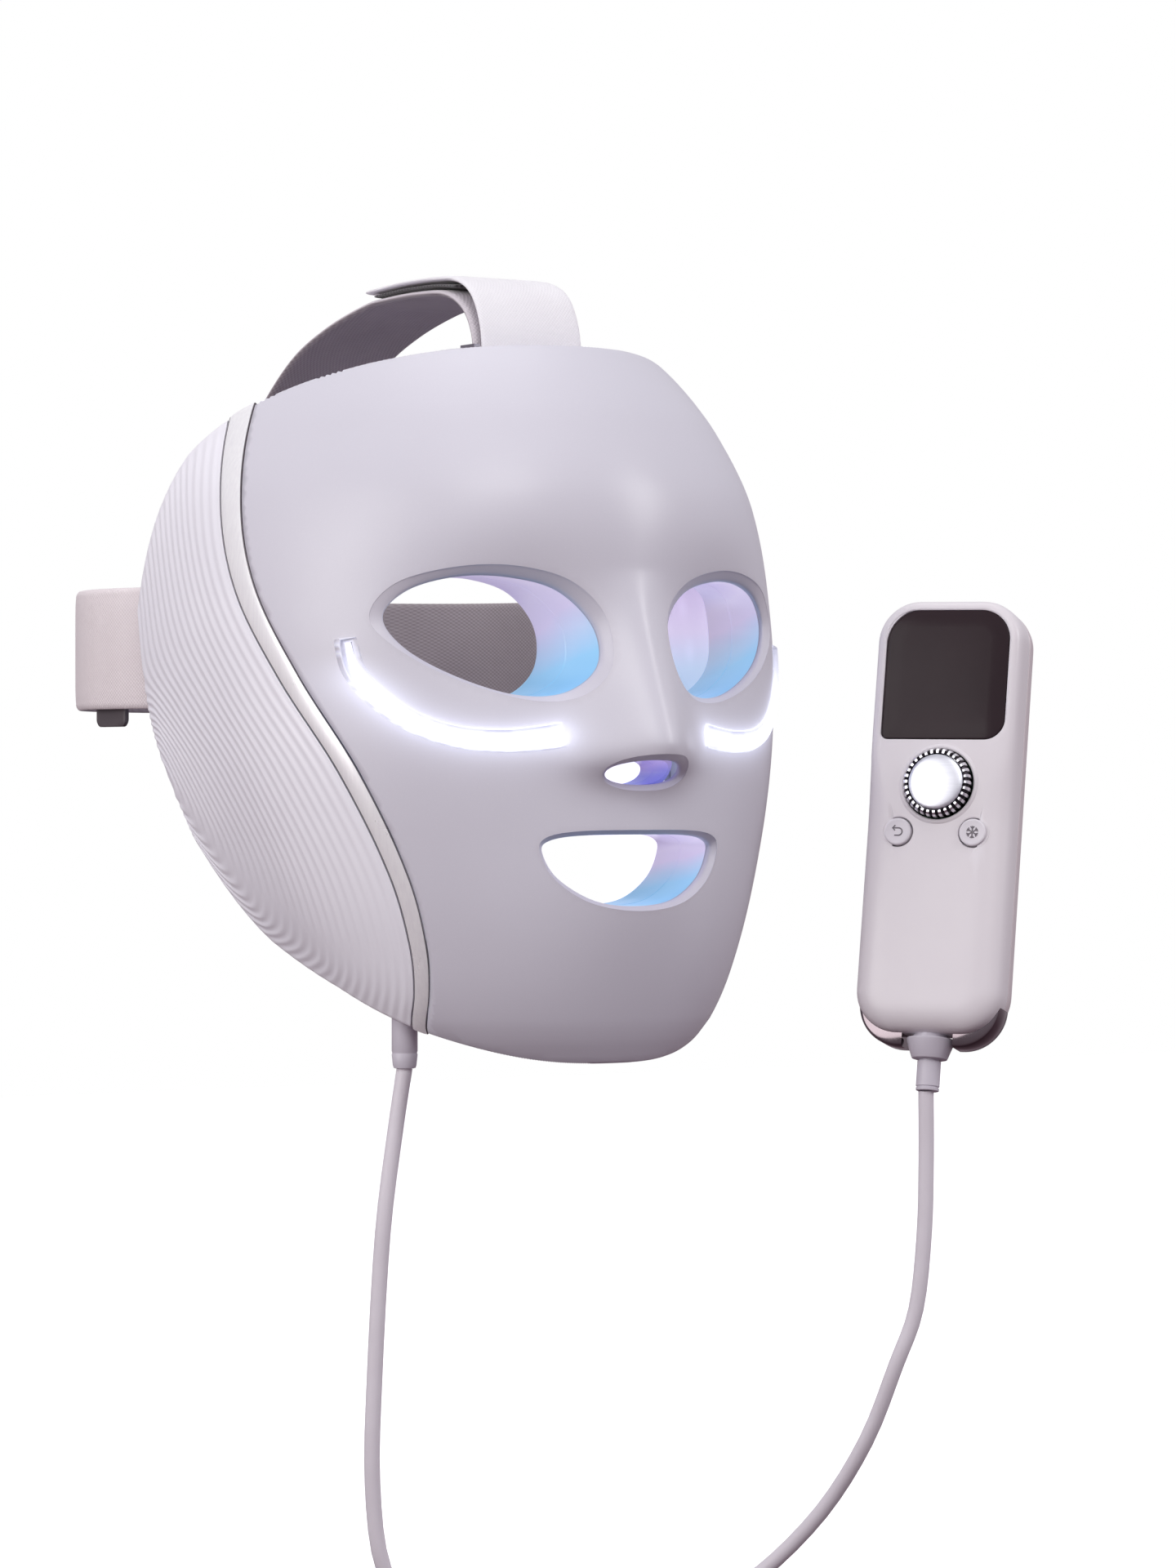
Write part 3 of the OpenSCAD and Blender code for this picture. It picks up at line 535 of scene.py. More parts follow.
def moulded(name, colour, other, rough=0.42, coat=0.0, wear_and_highlight=0.05):
    """Moulded plastic: cloudy colour, fine grain, uneven gloss, and sharp edges painted brighter, partly as wear and
    partly as a painted edge highlight.
    """
    n = Nodes(name)
    base = n.cloud(colour, other, 14, 4)
    # sharp edges are painted lighter: partly wear, partly a painted edge highlight
    edge = n.span(n.add("ShaderNodeNewGeometry").outputs["Pointiness"], 0, wear_and_highlight, 0.53, 0.62)
    base = n.mix(edge, base, linear("#f4f2f8"))
    gloss = n.span(n.noise(60, 5, 0.6), rough - 0.05, rough + 0.05)
    return n.set(Base_Color=base, Roughness=gloss, Normal=n.bump(n.noise(1500, 2), 0.35, 0.00002), Coat_Weight=coat,
                 Coat_Roughness=0.25)


def brushed(name, colour, other, rough=0.25, stretch=(60, 60, 1500)):
    """Metal with fine brushing in one direction."""
    n = Nodes(name)
    lines = n.noise(1.0, 3, 0.6, stretch)
    base = n.mix(n.span(lines, 0, 1), linear(colour), linear(other))
    gloss = n.span(n.noise(90, 4), rough - 0.05, rough + 0.07)
    return n.set(Base_Color=base, Roughness=gloss, Metallic=1.0, Normal=n.bump(lines, 0.25, 0.00001))


def plain_weave(n, pitch, along, across):
    """Crossing threads, and the same with fuzz as a height."""
    warp, weft = (n.math("SINE", n.math("MULTIPLY", n.axis(name), 2 * math.pi / pitch)) for name in (along, across))
    threads = n.math("MULTIPLY", warp, weft)
    return threads, n.math("ADD", threads, n.math("MULTIPLY", n.noise(900, 3), 0.8))


def woven(name, colour, other, pitch=0.0011, rough=0.85, along="X", across="Z", strength=0.6):
    """Close plain weave with fuzz."""
    n = Nodes(name)
    threads, height = plain_weave(n, pitch, along, across)
    base = n.cloud(colour, other, 35, 4)
    base = n.mix(n.span(threads, 0, 0.18, -1, 1), base, linear("#ffffff"))
    return n.set(Base_Color=base, Roughness=n.span(n.noise(220, 3), rough - 0.06, rough + 0.06), Sheen_Weight=0.35,
                 Sheen_Roughness=0.4, Normal=n.bump(height, strength, 0.00012))


DEPTH_TINT = 0.12        # how much of its colour a tunnel wall changes from front to back


def lit(name, stops, low, high, strength):
    """A glowing wall whose colour goes up with height; low and high are in mm."""
    n = Nodes(name)
    height = n.span(n.axis("Z"), 0, 1, low * MM, high * MM)
    depth = n.span(n.attribute("depth"), -DEPTH_TINT, DEPTH_TINT, 0, 1)
    colour = n.ramp(n.math("ADD", height, n.math("ADD", depth, n.span(n.noise(45, 2), -0.03, 0.03))), stops)
    glow = n.span(n.attribute("depth"), strength, strength * 0.72, 0, 1)
    grain = n.bump(n.noise(1200, 2), 0.3, 0.00002)
    return n.set(Base_Color=n.mix(0.5, colour, linear("#3a3550")), Emission_Color=colour, Emission_Strength=glow,
                 Roughness=n.span(n.noise(70, 3), 0.28, 0.4), Normal=grain)


def on(piece, material):
    piece.data.materials.clear()
    piece.data.materials.append(material)
    return piece


def place(piece, material, body, slot, *replaced):
    """Finishes a piece: its material, the body it rides on and the CAD nodes that it replaces; slot is not used."""
    on(piece, material)
    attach(piece, body)
    if replaced:
        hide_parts(*replaced)


# ---------- the cord: one piece from the mask, round the coil and up to the handset
def coil_points(per_turn=24):
    """Two turns side by side on the floor, two on top of them and a last one above, which leaves for the handset."""
    inner, outer = COIL_R - LANE / 2, COIL_R + LANE / 2
    low, high, top = (FLOOR_Z + CORD_D / 2 + level * LAYER for level in range(3))
    lanes = ((outer, low), (inner, low), (inner, high), (outer, high), (COIL_AT[1] - REMOTE_CORD[0][1], top))
    starts = (0.75, 0.5, 0.25, 0.1)     # where in its turn each change of lane starts, so the cord never meets itself
    turns = len(starts)
    whole = turns * 2 * math.pi
    out = []
    for i in range(-2, per_turn * turns + 2):
        turn = min(max(i // per_turn, 0), turns - 1)
        shift = smooth_step((i / per_turn - turn - starts[turn]) / 0.25)
        radius = between(lanes[turn][0], lanes[turn + 1][0], shift)
        height = between(lanes[turn][1], lanes[turn + 1][1], shift)
        a = i / per_turn * 2 * math.pi
        # both ends are straight, along the coil's edge
        past = a if a < 0 else max(a - whole, 0)
        across, deep = (past, 1) if past else (math.sin(a), math.cos(a))
        out.append((COIL_AT[0] + radius * across, COIL_AT[1] - radius * deep, height))
    return out


def cord_material():
    n = Nodes("cord_jacket")
    base = n.cloud("#d4ced5", "#ded9e0", 30, 3)
    fine = n.noise(1.0, 2, 0.5, (900, 900, 260))
    return n.set(Base_Color=base, Roughness=n.span(n.noise(120, 4), 0.42, 0.56), Specular_IOR_Level=0.4,
                 Normal=n.bump(fine, 0.3, 0.00003))


line = smooth_open(MASK_CORD + tuple(coil_points()) + REMOTE_CORD, 4)
cord_curve = bpy.data.curves.new("cord", "CURVE")
cord_curve.dimensions = "3D"
spline = cord_curve.splines.new("POLY")
spline.points.add(len(line) - 1)
for point, at in zip(spline.points, line * MM):
    point.co = (*at, 1)
spline.use_smooth = True
cord_curve.bevel_depth = CORD_D / 2 * MM
cord_curve.bevel_resolution = 5
cord_curve.use_fill_caps = True
cord = bpy.data.objects.new("cord", cord_curve)
scene.collection.objects.link(cord)
place(cord, cord_material(), "root", "cord_jacket", "cord_mask_run", "cord_coil", "cord_remote_run")

tie_outline = []
for i in range(40):
    a = i / 40 * 2 * math.pi
    tie_outline.append((7.6 * np.sign(math.cos(a)) * abs(math.cos(a)) ** 0.55,
                        6.4 * np.sign(math.sin(a)) * abs(math.sin(a)) ** 0.55))
tie_outline = np.array(tie_outline)
tie_rings = []
for x, grow in ((-4, 0), (-4, 0.9), (-3.6, 1.2), (3.6, 1.2), (4, 0.9), (4, 0)):
    loop = tie_outline * (1 + grow / 7)
    tie_rings.append(columns(COIL_AT[0] + x, COIL_AT[1] + COIL_R + loop[:, 0] * 0.86,
                             FLOOR_Z + 6.2 + np.maximum(loop[:, 1] * 0.9, -6.1)))
tie = rings_mesh("cord_wrap", tie_rings, loop=True)
place(tie, woven("tie_loop", "#36343a", "#47444b", pitch=0.0008, across="Y"), "root", "strap_dark", "cord_tie")

# ---------- mask: front shell
EDGE_R = 1.4


def edge_drop(away):
    """How far a rounded edge falls at a distance from it."""
    d = np.clip(EDGE_R - away, 0, EDGE_R)
    return EDGE_R - np.sqrt(EDGE_R ** 2 - d ** 2)


def domain_of(loop, width_less=0.0):
    """A loop across and up, in the surface's own measures: run round the face, and up."""
    w = curve(WIDTH, loop[:, 1]) - width_less
    return columns(np.arcsin(loop[:, 0] / w) / (math.pi / 2) * SIDE_RUN, loop[:, 1])


def flipped(loop):
    return (loop * (-1, 1))[::-1]


NOSE_POINTS = 60


def nose_loop(more=0.0):
    a = np.arange(NOSE_POINTS) * 2 * math.pi / NOSE_POINTS
    return columns((13 + more) * np.sign(np.cos(a)) * np.abs(np.cos(a)) ** 0.8,
                   NOSTRIL_Z + (3.6 + more) * np.sin(a))


def bar_outline(path, halves):
    side = line_normals(path)
    return np.concatenate([path + side * halves[:, None], (path - side * halves[:, None])[::-1]])


eye_loop, eye_lip = smooth_closed(EYE, 8), smooth_closed(EYE_LIP, 8)
mouth_loop, mouth_lip = smooth_closed(mirrored(MOUTH_HALF), 6), smooth_closed(mirrored(MOUTH_LIP_HALF), 6)
bar_path = smooth_open(LIGHT_BAR, 7)
bar_half = between(0.8, 2.0, np.linspace(0, 1, len(bar_path)))
slot_loop = bar_outline(bar_path, bar_half + 0.12)
# Each opening: its outer lip, its clear loop and the steps from one to the other as (share, depth)
LIP_STEPS = ((0.0, 0.0), (0.04, 0.22), (0.2, 0.55), (0.45, 1.05), (0.7, 1.6), (0.88, 2.1), (0.97, 2.6), (1.0, 3.2),
             (1.0, 4.2))
SLOT_STEPS = ((0.0, 0.0), (0.3, 0.12), (1.0, 0.5), (1.0, 3.2))
openings = [(eye_lip, eye_loop, LIP_STEPS), (flipped(eye_lip), flipped(eye_loop), LIP_STEPS),
            (mouth_lip, mouth_loop, LIP_STEPS), (nose_loop(more=1.8), nose_loop(), LIP_STEPS),
            (grown(slot_loop, 0.25), slot_loop, SLOT_STEPS),
            (flipped(grown(slot_loop, 0.25)), flipped(slot_loop), SLOT_STEPS)]


def front_outline():
    v = np.linspace(0, 1, 170)
    s = s_strip(v) - strip_half(v) - GAP / SIDE_RUN
    side = columns(s * SIDE_RUN, between(z_bottom(s), z_top(s), v))
    top_s, low_s = np.linspace(s[-1], -s[-1], 140)[1:-1], np.linspace(-s[0], s[0], 130)[1:-1]
    return np.concatenate([side, columns(top_s * SIDE_RUN, z_top(top_s)), flipped(side),
                           columns(low_s * SIDE_RUN, z_bottom(low_s))])


def edge_rows(s_limit_low, s_limit_high):
    """Rows of points close along the top and bottom edges, where the surface rolls in."""
    rows = []
    for off in (0.35, 0.8, 1.4):
        for edge, sign, limit in ((z_top, -1, s_limit_high), (z_bottom, 1, s_limit_low)):
            s = np.linspace(-limit, limit, 130)
            rows.append(columns(s * SIDE_RUN, edge(s) + sign * off))
    return rows


outline = front_outline()
verts, tris = trimmed(outline, [domain_of(lip) for lip, _, _ in openings], 1.7,
                      edge_rows(s_strip(0.0) - 0.035, s_strip(1.0) - 0.045))
s, z = verts[:, 0] / SIDE_RUN, verts[:, 1]
drop = edge_drop(z_top(s) - z) + edge_drop(z - z_bottom(s))
points = [skin(s, z) + inward(skin, s, z) * drop[:, None]]
faces = [tuple(t) for t in tris]
count = len(verts)
for lip, clear, steps in openings:
    rings = []
    for share, deep in steps:
        loop = between(lip, clear, share)
        rings.append(columns(loop[:, 0], skin_y(loop[:, 0], loop[:, 1]) + deep, loop[:, 1]))
    points += rings
    faces += grid_faces(len(rings), len(lip), closed=True, start=count)
    count += len(rings) * len(lip)
front = mesh("front_shell_skin", np.concatenate(points), faces, 32)
faces_out(front, (0, -1, 0))
at = points_of(front)
flat = at[:, [0, 2]]
away = np.minimum(distance(flat, bar_path, closed=False), distance(flat, bar_path * (-1, 1), closed=False))
UPPER_END_Z = -4
fading = smooth_step((UPPER_END_Z - 2 - at[:, 2]) / 14)
slot_wall = inside(flat, slot_loop) | inside(flat, flipped(slot_loop))
halo = fading * np.exp(-np.maximum(away - 1.8, 0) / 3.2)
numbers(front, "halo", np.where(slot_wall, 0.6 + fading, halo))
# painted shade: points on the recessed lips round the eyes, mouth and nose are marked to be painted darker
numbers(front, "lip", np.any([inside(flat, grown(lip, 0.1)) for lip, _, _ in openings[:4]], axis=0))
thick(front, 1.7)


def shell_material():
    n = Nodes("shell_satin")
    base = n.cloud("#cdcbd5", "#d2d0da", 9, 3)
    flakes = n.span(n.noise(2600, 1), 0, 0.05, 0.55, 0.8)
    base = n.mix(flakes, base, linear("#ffffff"))
    # painted shade: the recessed lips are painted darker
    base = n.mix(n.math("MULTIPLY", n.attribute("lip"), 0.15), base, linear("#b3abb5"))
    gloss = n.span(n.noise(40, 5, 0.6), 0.33, 0.42)
    glow = n.math("MULTIPLY", n.attribute("halo"), 0.62)
    return n.set(Base_Color=base, Roughness=gloss, Coat_Weight=0.12, Coat_Roughness=0.3,
                 Emission_Color=linear("#dfe6ff"), Emission_Strength=glow,
                 Normal=n.bump(n.noise(1300, 2), 0.25, 0.000015))


place(front, shell_material(), "root", "shell_satin", "front_shell")

# ---------- mask: ribbed side panels and trim strips
EDGE_STEPS = np.array([0, 0.0025, 0.006, 0.011])


def fine_ends(n):
    middle = np.linspace(0.02, 0.98, n)
    return np.concatenate([EDGE_STEPS, middle, 1 - EDGE_STEPS[::-1]])


def mirror_x(grid):
    return (grid * (-1, 1, 1))[:, ::-1]


def rib_profile(run):
    """Height of soft ribs along a run from the strip, flat for the first millimetre."""
    wave = 0.5 - 0.5 * np.cos(2 * math.pi * (run - 1.0) / RIB_PITCH)
    return np.where(run > 1.0, wave ** 1.25, 0) * RIB_HEIGHT


# columns lie at fixed runs from the strip, so that they follow the ribs; those past the rear edge gather on it
RUN_STEP = 0.65
runs = np.concatenate([[0, 0.35, 0.8, 1.3], np.arange(1.8, 115, RUN_STEP)])
v = fine_ends(150)[:, None]
s_edge = s_strip(v) + strip_half(v) + GAP / SIDE_RUN
full_run = (s_rear(v) - s_edge) * SIDE_RUN
run = np.concatenate([np.minimum(runs, full_run - 1.6), full_run - [1.0, 0.5, 0.15, 0.0]], 1)
v = np.broadcast_to(v, run.shape)
panel_s = s_edge + run / SIDE_RUN
height = z_top(panel_s) - z_bottom(panel_s)
drop = edge_drop(v * height) + edge_drop((1 - v) * height) + edge_drop(full_run - run) + 0.25 * edge_drop(run + 0.5)
fade = smooth_step(v * height / 3) * smooth_step((1 - v) * height / 3)
ribs = rib_profile(run) * fade
panel_outer = face_at(panel_s, v, drop + RIB_HEIGHT - ribs - RIB_HEIGHT * (1 - fade))
panel_inner = face_at(panel_s, v, np.full_like(v, SHELL_T))


def ribbed_material():
    n = Nodes("ribbed_panel")
    base = n.cloud("#e8e7ef", "#efeef5", 12, 4)
    # painted highlight: the rib crests are painted lighter where they curve most sharply
    crest_highlight = n.span(n.add("ShaderNodeNewGeometry").outputs["Pointiness"], 0, 0.35, 0.5, 0.56)
    base = n.mix(crest_highlight, base, linear("#f3f1f8"))
    return n.set(Base_Color=base, Roughness=n.span(n.noise(50, 5, 0.6), 0.36, 0.46), Coat_Weight=0.1,
                 Coat_Roughness=0.3, Normal=n.bump(n.noise(1400, 2), 0.3, 0.000015))


ribbed = ribbed_material()
for side, outer, inner in (("left", panel_outer, panel_inner),
                           ("right", mirror_x(panel_outer), mirror_x(panel_inner))):
    panel = sheet_mesh("side_panel_skin_" + side, outer, inner, 50)
    place(panel, ribbed, "root", "ribbed_panel", "side_panel_" + side)


def strip_material():
    """Satin metal with fine lengthwise brushing; its rolled edges and back are painted dark, as painted shade in the
    seams beside it.
    """
    n = Nodes("trim_metal")
    lines = n.noise(1.0, 3, 0.6, (1200, 1200, 40))
    base = n.mix(n.span(lines, 0, 1), linear("#f3f2f5"), linear("#fbfbfc"))
    # painted shade: the marked edges and back are painted dark
    base = n.mix(n.attribute("edge"), base, linear("#5c555b"))
    return n.set(Base_Color=base, Metallic=0.3, Roughness=n.span(n.noise(90, 4), 0.27, 0.33), Coat_Weight=0.3,
                 Normal=n.bump(lines, 0.1, 0.00001))


strip_metal = strip_material()
v, c = np.meshgrid(np.linspace(0, 1, 150), np.array([-1, -0.93, -0.9, -0.5, 0, 0.5, 0.9, 0.93, 1]), indexing="ij")
strip_s = s_strip(v) + c * (strip_half(v) - GAP / SIDE_RUN)
across = 0.22 * np.abs(c) ** 6 + 0.1 * c * c
strip_outer, strip_inner = face_at(strip_s, v, across), face_at(strip_s, v, np.full_like(v, SHELL_T))
for side, outer, inner in (("left", strip_outer, strip_inner),
                           ("right", mirror_x(strip_outer), mirror_x(strip_inner))):
    strip = sheet_mesh("trim_strip_metal_" + side, outer, inner, 30)
    on_surface = np.concatenate([outer.reshape(-1, 3), inner.reshape(-1, 3)])
    # painted shade: the rolled edges and the whole back of the strip are marked to be painted dark
    edge = np.concatenate([(np.abs(c) > 0.92).ravel(), np.ones(c.size)]).astype(float)
    at = points_of(strip)
    nearest = [int(np.argmin(((on_surface - p) ** 2).sum(1))) for p in at]
    numbers(strip, "edge", edge[nearest])
    place(strip, strip_metal, "root", "trim_metal", "trim_strip_" + side)

# ---------- mask: liner, rim and face pad
CHEEK_AT, CHEEK_TURN = np.array([47, -15, -46]), math.radians(31)
WINDOW_HALF, WINDOW_Z = 17.7, (-58.7, -33.3)


def cheek_window():
    """The cooling plate's window in the liner, as run and height."""
    across_axis = np.array([math.cos(CHEEK_TURN), math.sin(CHEEK_TURN), 0])
    s = np.linspace(0.1, 0.95, 900)
    sides = []
    for z in np.linspace(*WINDOW_Z, 10):
        local = (lining(s, np.full_like(s, z)) - CHEEK_AT) @ across_axis
        sides.append((np.interp(-WINDOW_HALF, local, s) * SIDE_RUN, np.interp(WINDOW_HALF, local, s) * SIDE_RUN, z))
    left = np.array([(a, z) for a, _, z in sides])
    right_side = np.array([(b, z) for _, b, z in sides])
    return np.concatenate([left, right_side[::-1]])


EYE_MIDDLE_Z = -2
liner_v = np.linspace(0, 1, 110)
side = columns(s_rear(liner_v) * SIDE_RUN, liner_z(s_rear(liner_v), liner_v))
ends = np.linspace(REAR_SHARE, -REAR_SHARE, 160)[1:-1]
liner_outline = np.concatenate([side, columns(ends * SIDE_RUN, liner_z(ends, 1.0)), flipped(side),
                                columns(-ends * SIDE_RUN, liner_z(ends, 0.0))])
ROOM = TUNNEL_T + 0.2
liner_holes = [grown(eye_loop, ROOM), flipped(grown(eye_loop, ROOM)), grown(mouth_loop, ROOM),
               grown(nose_loop(), ROOM)]
window = cheek_window()
verts, tris = trimmed(liner_outline, [domain_of(h, LINER_LESS) for h in liner_holes] + [window, flipped(window)], 2.6)
liner = mesh("liner_skin", lining(verts[:, 0] / SIDE_RUN, verts[:, 1]), tris, 40)
faces_out(liner, (0, -1, 0))
thick(liner, LINER_T)
LED_MARKS = ([(c * 0.135, 0.79 + r * 0.055) for c in range(-4, 5) for r in range(3)]
             + [(k * (0.9 + c * 0.12), 0.36 + r * 0.09) for k in (-1, 1) for c in (0, 1) for r in range(5)]
             + [(c * 0.16, 0.1) for c in range(-2, 3)])
at = points_of(liner)
led_at = np.array([liner_at(a, b) for a, b in LED_MARKS])
led_near = np.min([np.linalg.norm(at - p, axis=1) for p in led_at], axis=0)
numbers(liner, "led", np.exp(-(led_near / 3.2) ** 2))
wash = np.exp(-((at[:, 2] - EYE_MIDDLE_Z) / 34) ** 4) * smooth_step(np.abs(at[:, 0]) / 8)
numbers(liner, "wash", wash)
# painted light: the liner below the nose is marked for a strong near-white glow
flood = smooth_step((-34 - at[:, 2]) / 7)
numbers(liner, "flood", flood)


def liner_material():
    """Satin white; light from the tunnels washes over it round the eyes, the lamps show as faint spots, and its lower
    part is painted with a strong near-white glow.
    """
    n = Nodes("liner")
    base = n.cloud("#cbc7d2", "#d8d4dd", 18, 4)
    height = n.span(n.axis("Z"), 0, 1, -26 * MM, 22 * MM)
    tint = n.ramp(height, ((0.0, "#6fb7e6"), (0.35, "#a6ccec"), (0.6, "#d3c6e9"), (1.0, "#bca6dc")))
    tint = n.mix(n.attribute("flood"), tint, linear("#f7f6ff"))
    glow = n.math("ADD", n.math("MULTIPLY", n.attribute("wash"), 0.6), n.math("MULTIPLY", n.attribute("led"), 0.12))
    glow = n.math("ADD", glow, n.math("MULTIPLY", n.attribute("flood"), 0.9))
    return n.set(Base_Color=base, Roughness=n.span(n.noise(70, 4), 0.45, 0.6), Emission_Color=tint,
                 Emission_Strength=glow, Normal=n.bump(n.noise(700, 3), 0.4, 0.00004))


place(liner, liner_material(), "root", "liner", "inner_liner")

RIM_STEPS = 90
steps = np.arange(RIM_STEPS) / RIM_STEPS
rise = np.arange(50) / 50
rim_s = np.concatenate([between(-REAR_SHARE, REAR_SHARE, steps), s_rear(rise),
                        between(REAR_SHARE, -REAR_SHARE, steps), -s_rear(1 - rise)])
rim_v = np.concatenate([np.zeros(RIM_STEPS), rise, np.ones(RIM_STEPS), 1 - rise])
RIM_IN = 0.985
inner_s, inner_v = rim_s * RIM_IN, 0.5 + (rim_v - 0.5) * RIM_IN
front_depth, back_depth = np.full_like(rim_s, SHELL_T + 0.4), np.full_like(rim_s, -0.6)
outer_a, outer_b = face_at(rim_s, rim_v, front_depth), liner_at(rim_s, rim_v, back_depth)
inner_a, inner_b = face_at(inner_s, inner_v, front_depth), liner_at(inner_s, inner_v, back_depth)
out_way = (outer_a + outer_b - inner_a - inner_b)
out_way /= np.linalg.norm(out_way, axis=1, keepdims=True)
rim_rings = [between(outer_a, outer_b, t) + out_way * (1.1 * math.sin(math.pi * t) ** 0.6 - 0.5)
             for t in np.linspace(0, 1, 11)]
rim_rings += [inner_b, inner_a]
rim = rings_mesh("edge_gasket", rim_rings, loop=True)


def silicone_material(name, colour, other):
    n = Nodes(name)
    base = n.cloud(colour, other, 25, 4)
    return n.set(Base_Color=base, Roughness=n.span(n.noise(90, 4), 0.5, 0.66), Sheen_Weight=0.15,
                 Normal=n.bump(n.noise(500, 4), 0.4, 0.00005))


place(rim, silicone_material("rim_silicone", "#b3aebd", "#bdb8c6"), "root", "rim_silicone", "edge_rim")

a, b = np.meshgrid(np.linspace(0, 1, 26), np.linspace(0, 1, 60), indexing="ij")
crown = ((1 - np.abs(2 * a - 1) ** 5) * (1 - np.abs(2 * b - 1) ** 12)) ** 0.5
pad_s = between(-0.36, 0.36, b) * (1 - 0.06 * np.abs(2 * a - 1) ** 6)
pad_v = between(0.84, 0.93, a)
pad_top = liner_at(pad_s, pad_v, 3.1 + 3.7 * crown - 0.25 * np.exp(-((b * 6) % 1 - 0.5) ** 2 / 0.004) * crown)
pad_base = liner_at(pad_s, pad_v, np.full_like(pad_s, 2.9))
pad = sheet_mesh("forehead_cushion", pad_top, pad_base)
place(pad, silicone_material("pad_silicone", "#e3dfe6", "#eceaef"), "root", "pad_silicone", "forehead_pad")

# ---------- mask: light tunnels and light bars
WALL_COLOURS = ((0.0, "#78b6e0"), (0.3, "#8fc6e8"), (0.5, "#b9cde8"), (0.68, "#dacfea"), (0.86, "#e0d4ed"),
                (1.0, "#d3c5e6"))
NOSE_COLOURS = ((0.0, "#6f74d2"), (0.4, "#8f8fdd"), (0.75, "#b8a6dc"), (1.0, "#a48fcf"))
SEAM_AT = 0.52


def tunnel_piece(name, loop, start, reach, low, high, strength, node, colours=WALL_COLOURS):
    """A glowing sleeve through the mask, with a joint line part of the way in and a rolled edge at the face."""
    inner, outer = grown(loop, 0.1), grown(loop, TUNNEL_T + 0.1)
    shares = np.concatenate([np.linspace(0, SEAM_AT - 0.02, 9), [SEAM_AT - 0.012, SEAM_AT, SEAM_AT + 0.012],
                             np.linspace(SEAM_AT + 0.02, 1, 9)])

    def ends(x, z):
        return skin_y(x, z) + start, np.maximum(lining_y(x, z) + 3.5, reach)

    def ring(at, share, out=0.0):
        front_y, back_y = ends(at[:, 0], at[:, 1])
        at = grown(at, out)
        return columns(at[:, 0], between(front_y, back_y, share), at[:, 1])

    groove = {SEAM_AT - 0.012: 0.0, SEAM_AT: 0.3, SEAM_AT + 0.012: 0.0}
    rings = [ring(inner, f, groove.get(f, 0.0)) for f in shares[:-1]]
    rings += [ring(inner, 0.985, 0.05), ring(inner, 1.0, 0.45), ring(inner, 1.0, 1.05), ring(outer, 0.985, -0.1)]
    rings += [ring(outer, 0.95), ring(outer, 0.0)]
    piece = rings_mesh(name, rings, loop=True, smooth_angle=38)
    at = points_of(piece)
    front_y, back_y = ends(at[:, 0], at[:, 2])
    numbers(piece, "depth", np.clip((at[:, 1] - front_y) / (back_y - front_y), 0, 1))
    place(piece, lit("glow_" + name, colours, low, high, strength), "root", "light_guide", node)


tunnel_piece("eye_glow_left", eye_loop, 4.4, 11, -21, 15.5, 0.62, "eye_tunnel_left")
tunnel_piece("eye_glow_right", flipped(eye_loop), 4.4, 11, -21, 15.5, 0.62, "eye_tunnel_right")
tunnel_piece("nose_glow", nose_loop(), 9, -19, -47, -38, 0.6, "nose_tunnel", NOSE_COLOURS)
tunnel_piece("mouth_glow", mouth_loop, 3.3, -2, -83, -61.5, 0.62, "mouth_tunnel")

bar_rings = []
BAR_SECTION = ((-1, 2.6), (-1, 0.35), (-0.8, 0.12), (-0.4, 0.0), (0, -0.05), (0.4, 0.0), (0.8, 0.12), (1, 0.35),
               (1, 2.6))
side = line_normals(bar_path)
for p, way, half in zip(bar_path, side, bar_half):
    ring = []
    for across, deep in BAR_SECTION:
        x, z = p + way * half * across
        sunk = 0.3 + 0.2 * smooth_step((z - UPPER_END_Z + 12) / 10)
        ring.append((x, float(skin_y(x, z)) + deep + sunk, z))
    bar_rings.append(np.array(ring))


def bar_material():
    n = Nodes("light_bar")
    colour = n.cloud("#eef2ff", "#fbfbff", 120, 2)
    power = n.math("MULTIPLY", n.span(n.axis("Z"), 1, 0.25, -20 * MM, (UPPER_END_Z + 1) * MM),
                   n.span(n.noise(60, 2), 1.05, 1.25))
    return n.set(Base_Color=colour, Emission_Color=colour, Emission_Strength=power,
                 Roughness=n.span(n.noise(90, 2), 0.25, 0.35))


bar_white = bar_material()
for name, turn in (("left", 1), ("right", -1)):
    bar = rings_mesh("light_bar_lens_" + name, [r * (turn, 1, 1) for r in bar_rings], smooth_angle=45)
    place(bar, bar_white, "root", "light_bar", "light_bar_" + name)

gland_profile = ((0, -111), (3.9, -111), (3.9, -118), (3.9, -126.0), (3.75, -126.3), (3.75, -126.7), (3.9, -127.0),
                 (3.55, -130.2), (3.3, -131.0), (2.5, -131.2), (0, -131.2))


def gland_place(p):
    return columns(GLAND_AT[0] + p[:, 0], GLAND_AT[1] + p[:, 2], p[:, 1])


gland = revolved("cord_gland", gland_profile, gland_place, 48)
jacket = moulded("gland_plastic", "#bdb7c2", "#c7c2cc", rough=0.4)
place(gland, jacket, "root", "cord_jacket", "mask_gland")

# ---------- straps
FLAT_SECTION = [(math.copysign(abs(math.cos(a)) ** 0.25, math.cos(a)),
                 math.copysign(abs(math.sin(a)) ** 0.8, math.sin(a))) for a in np.arange(40) / 40 * 2 * math.pi]


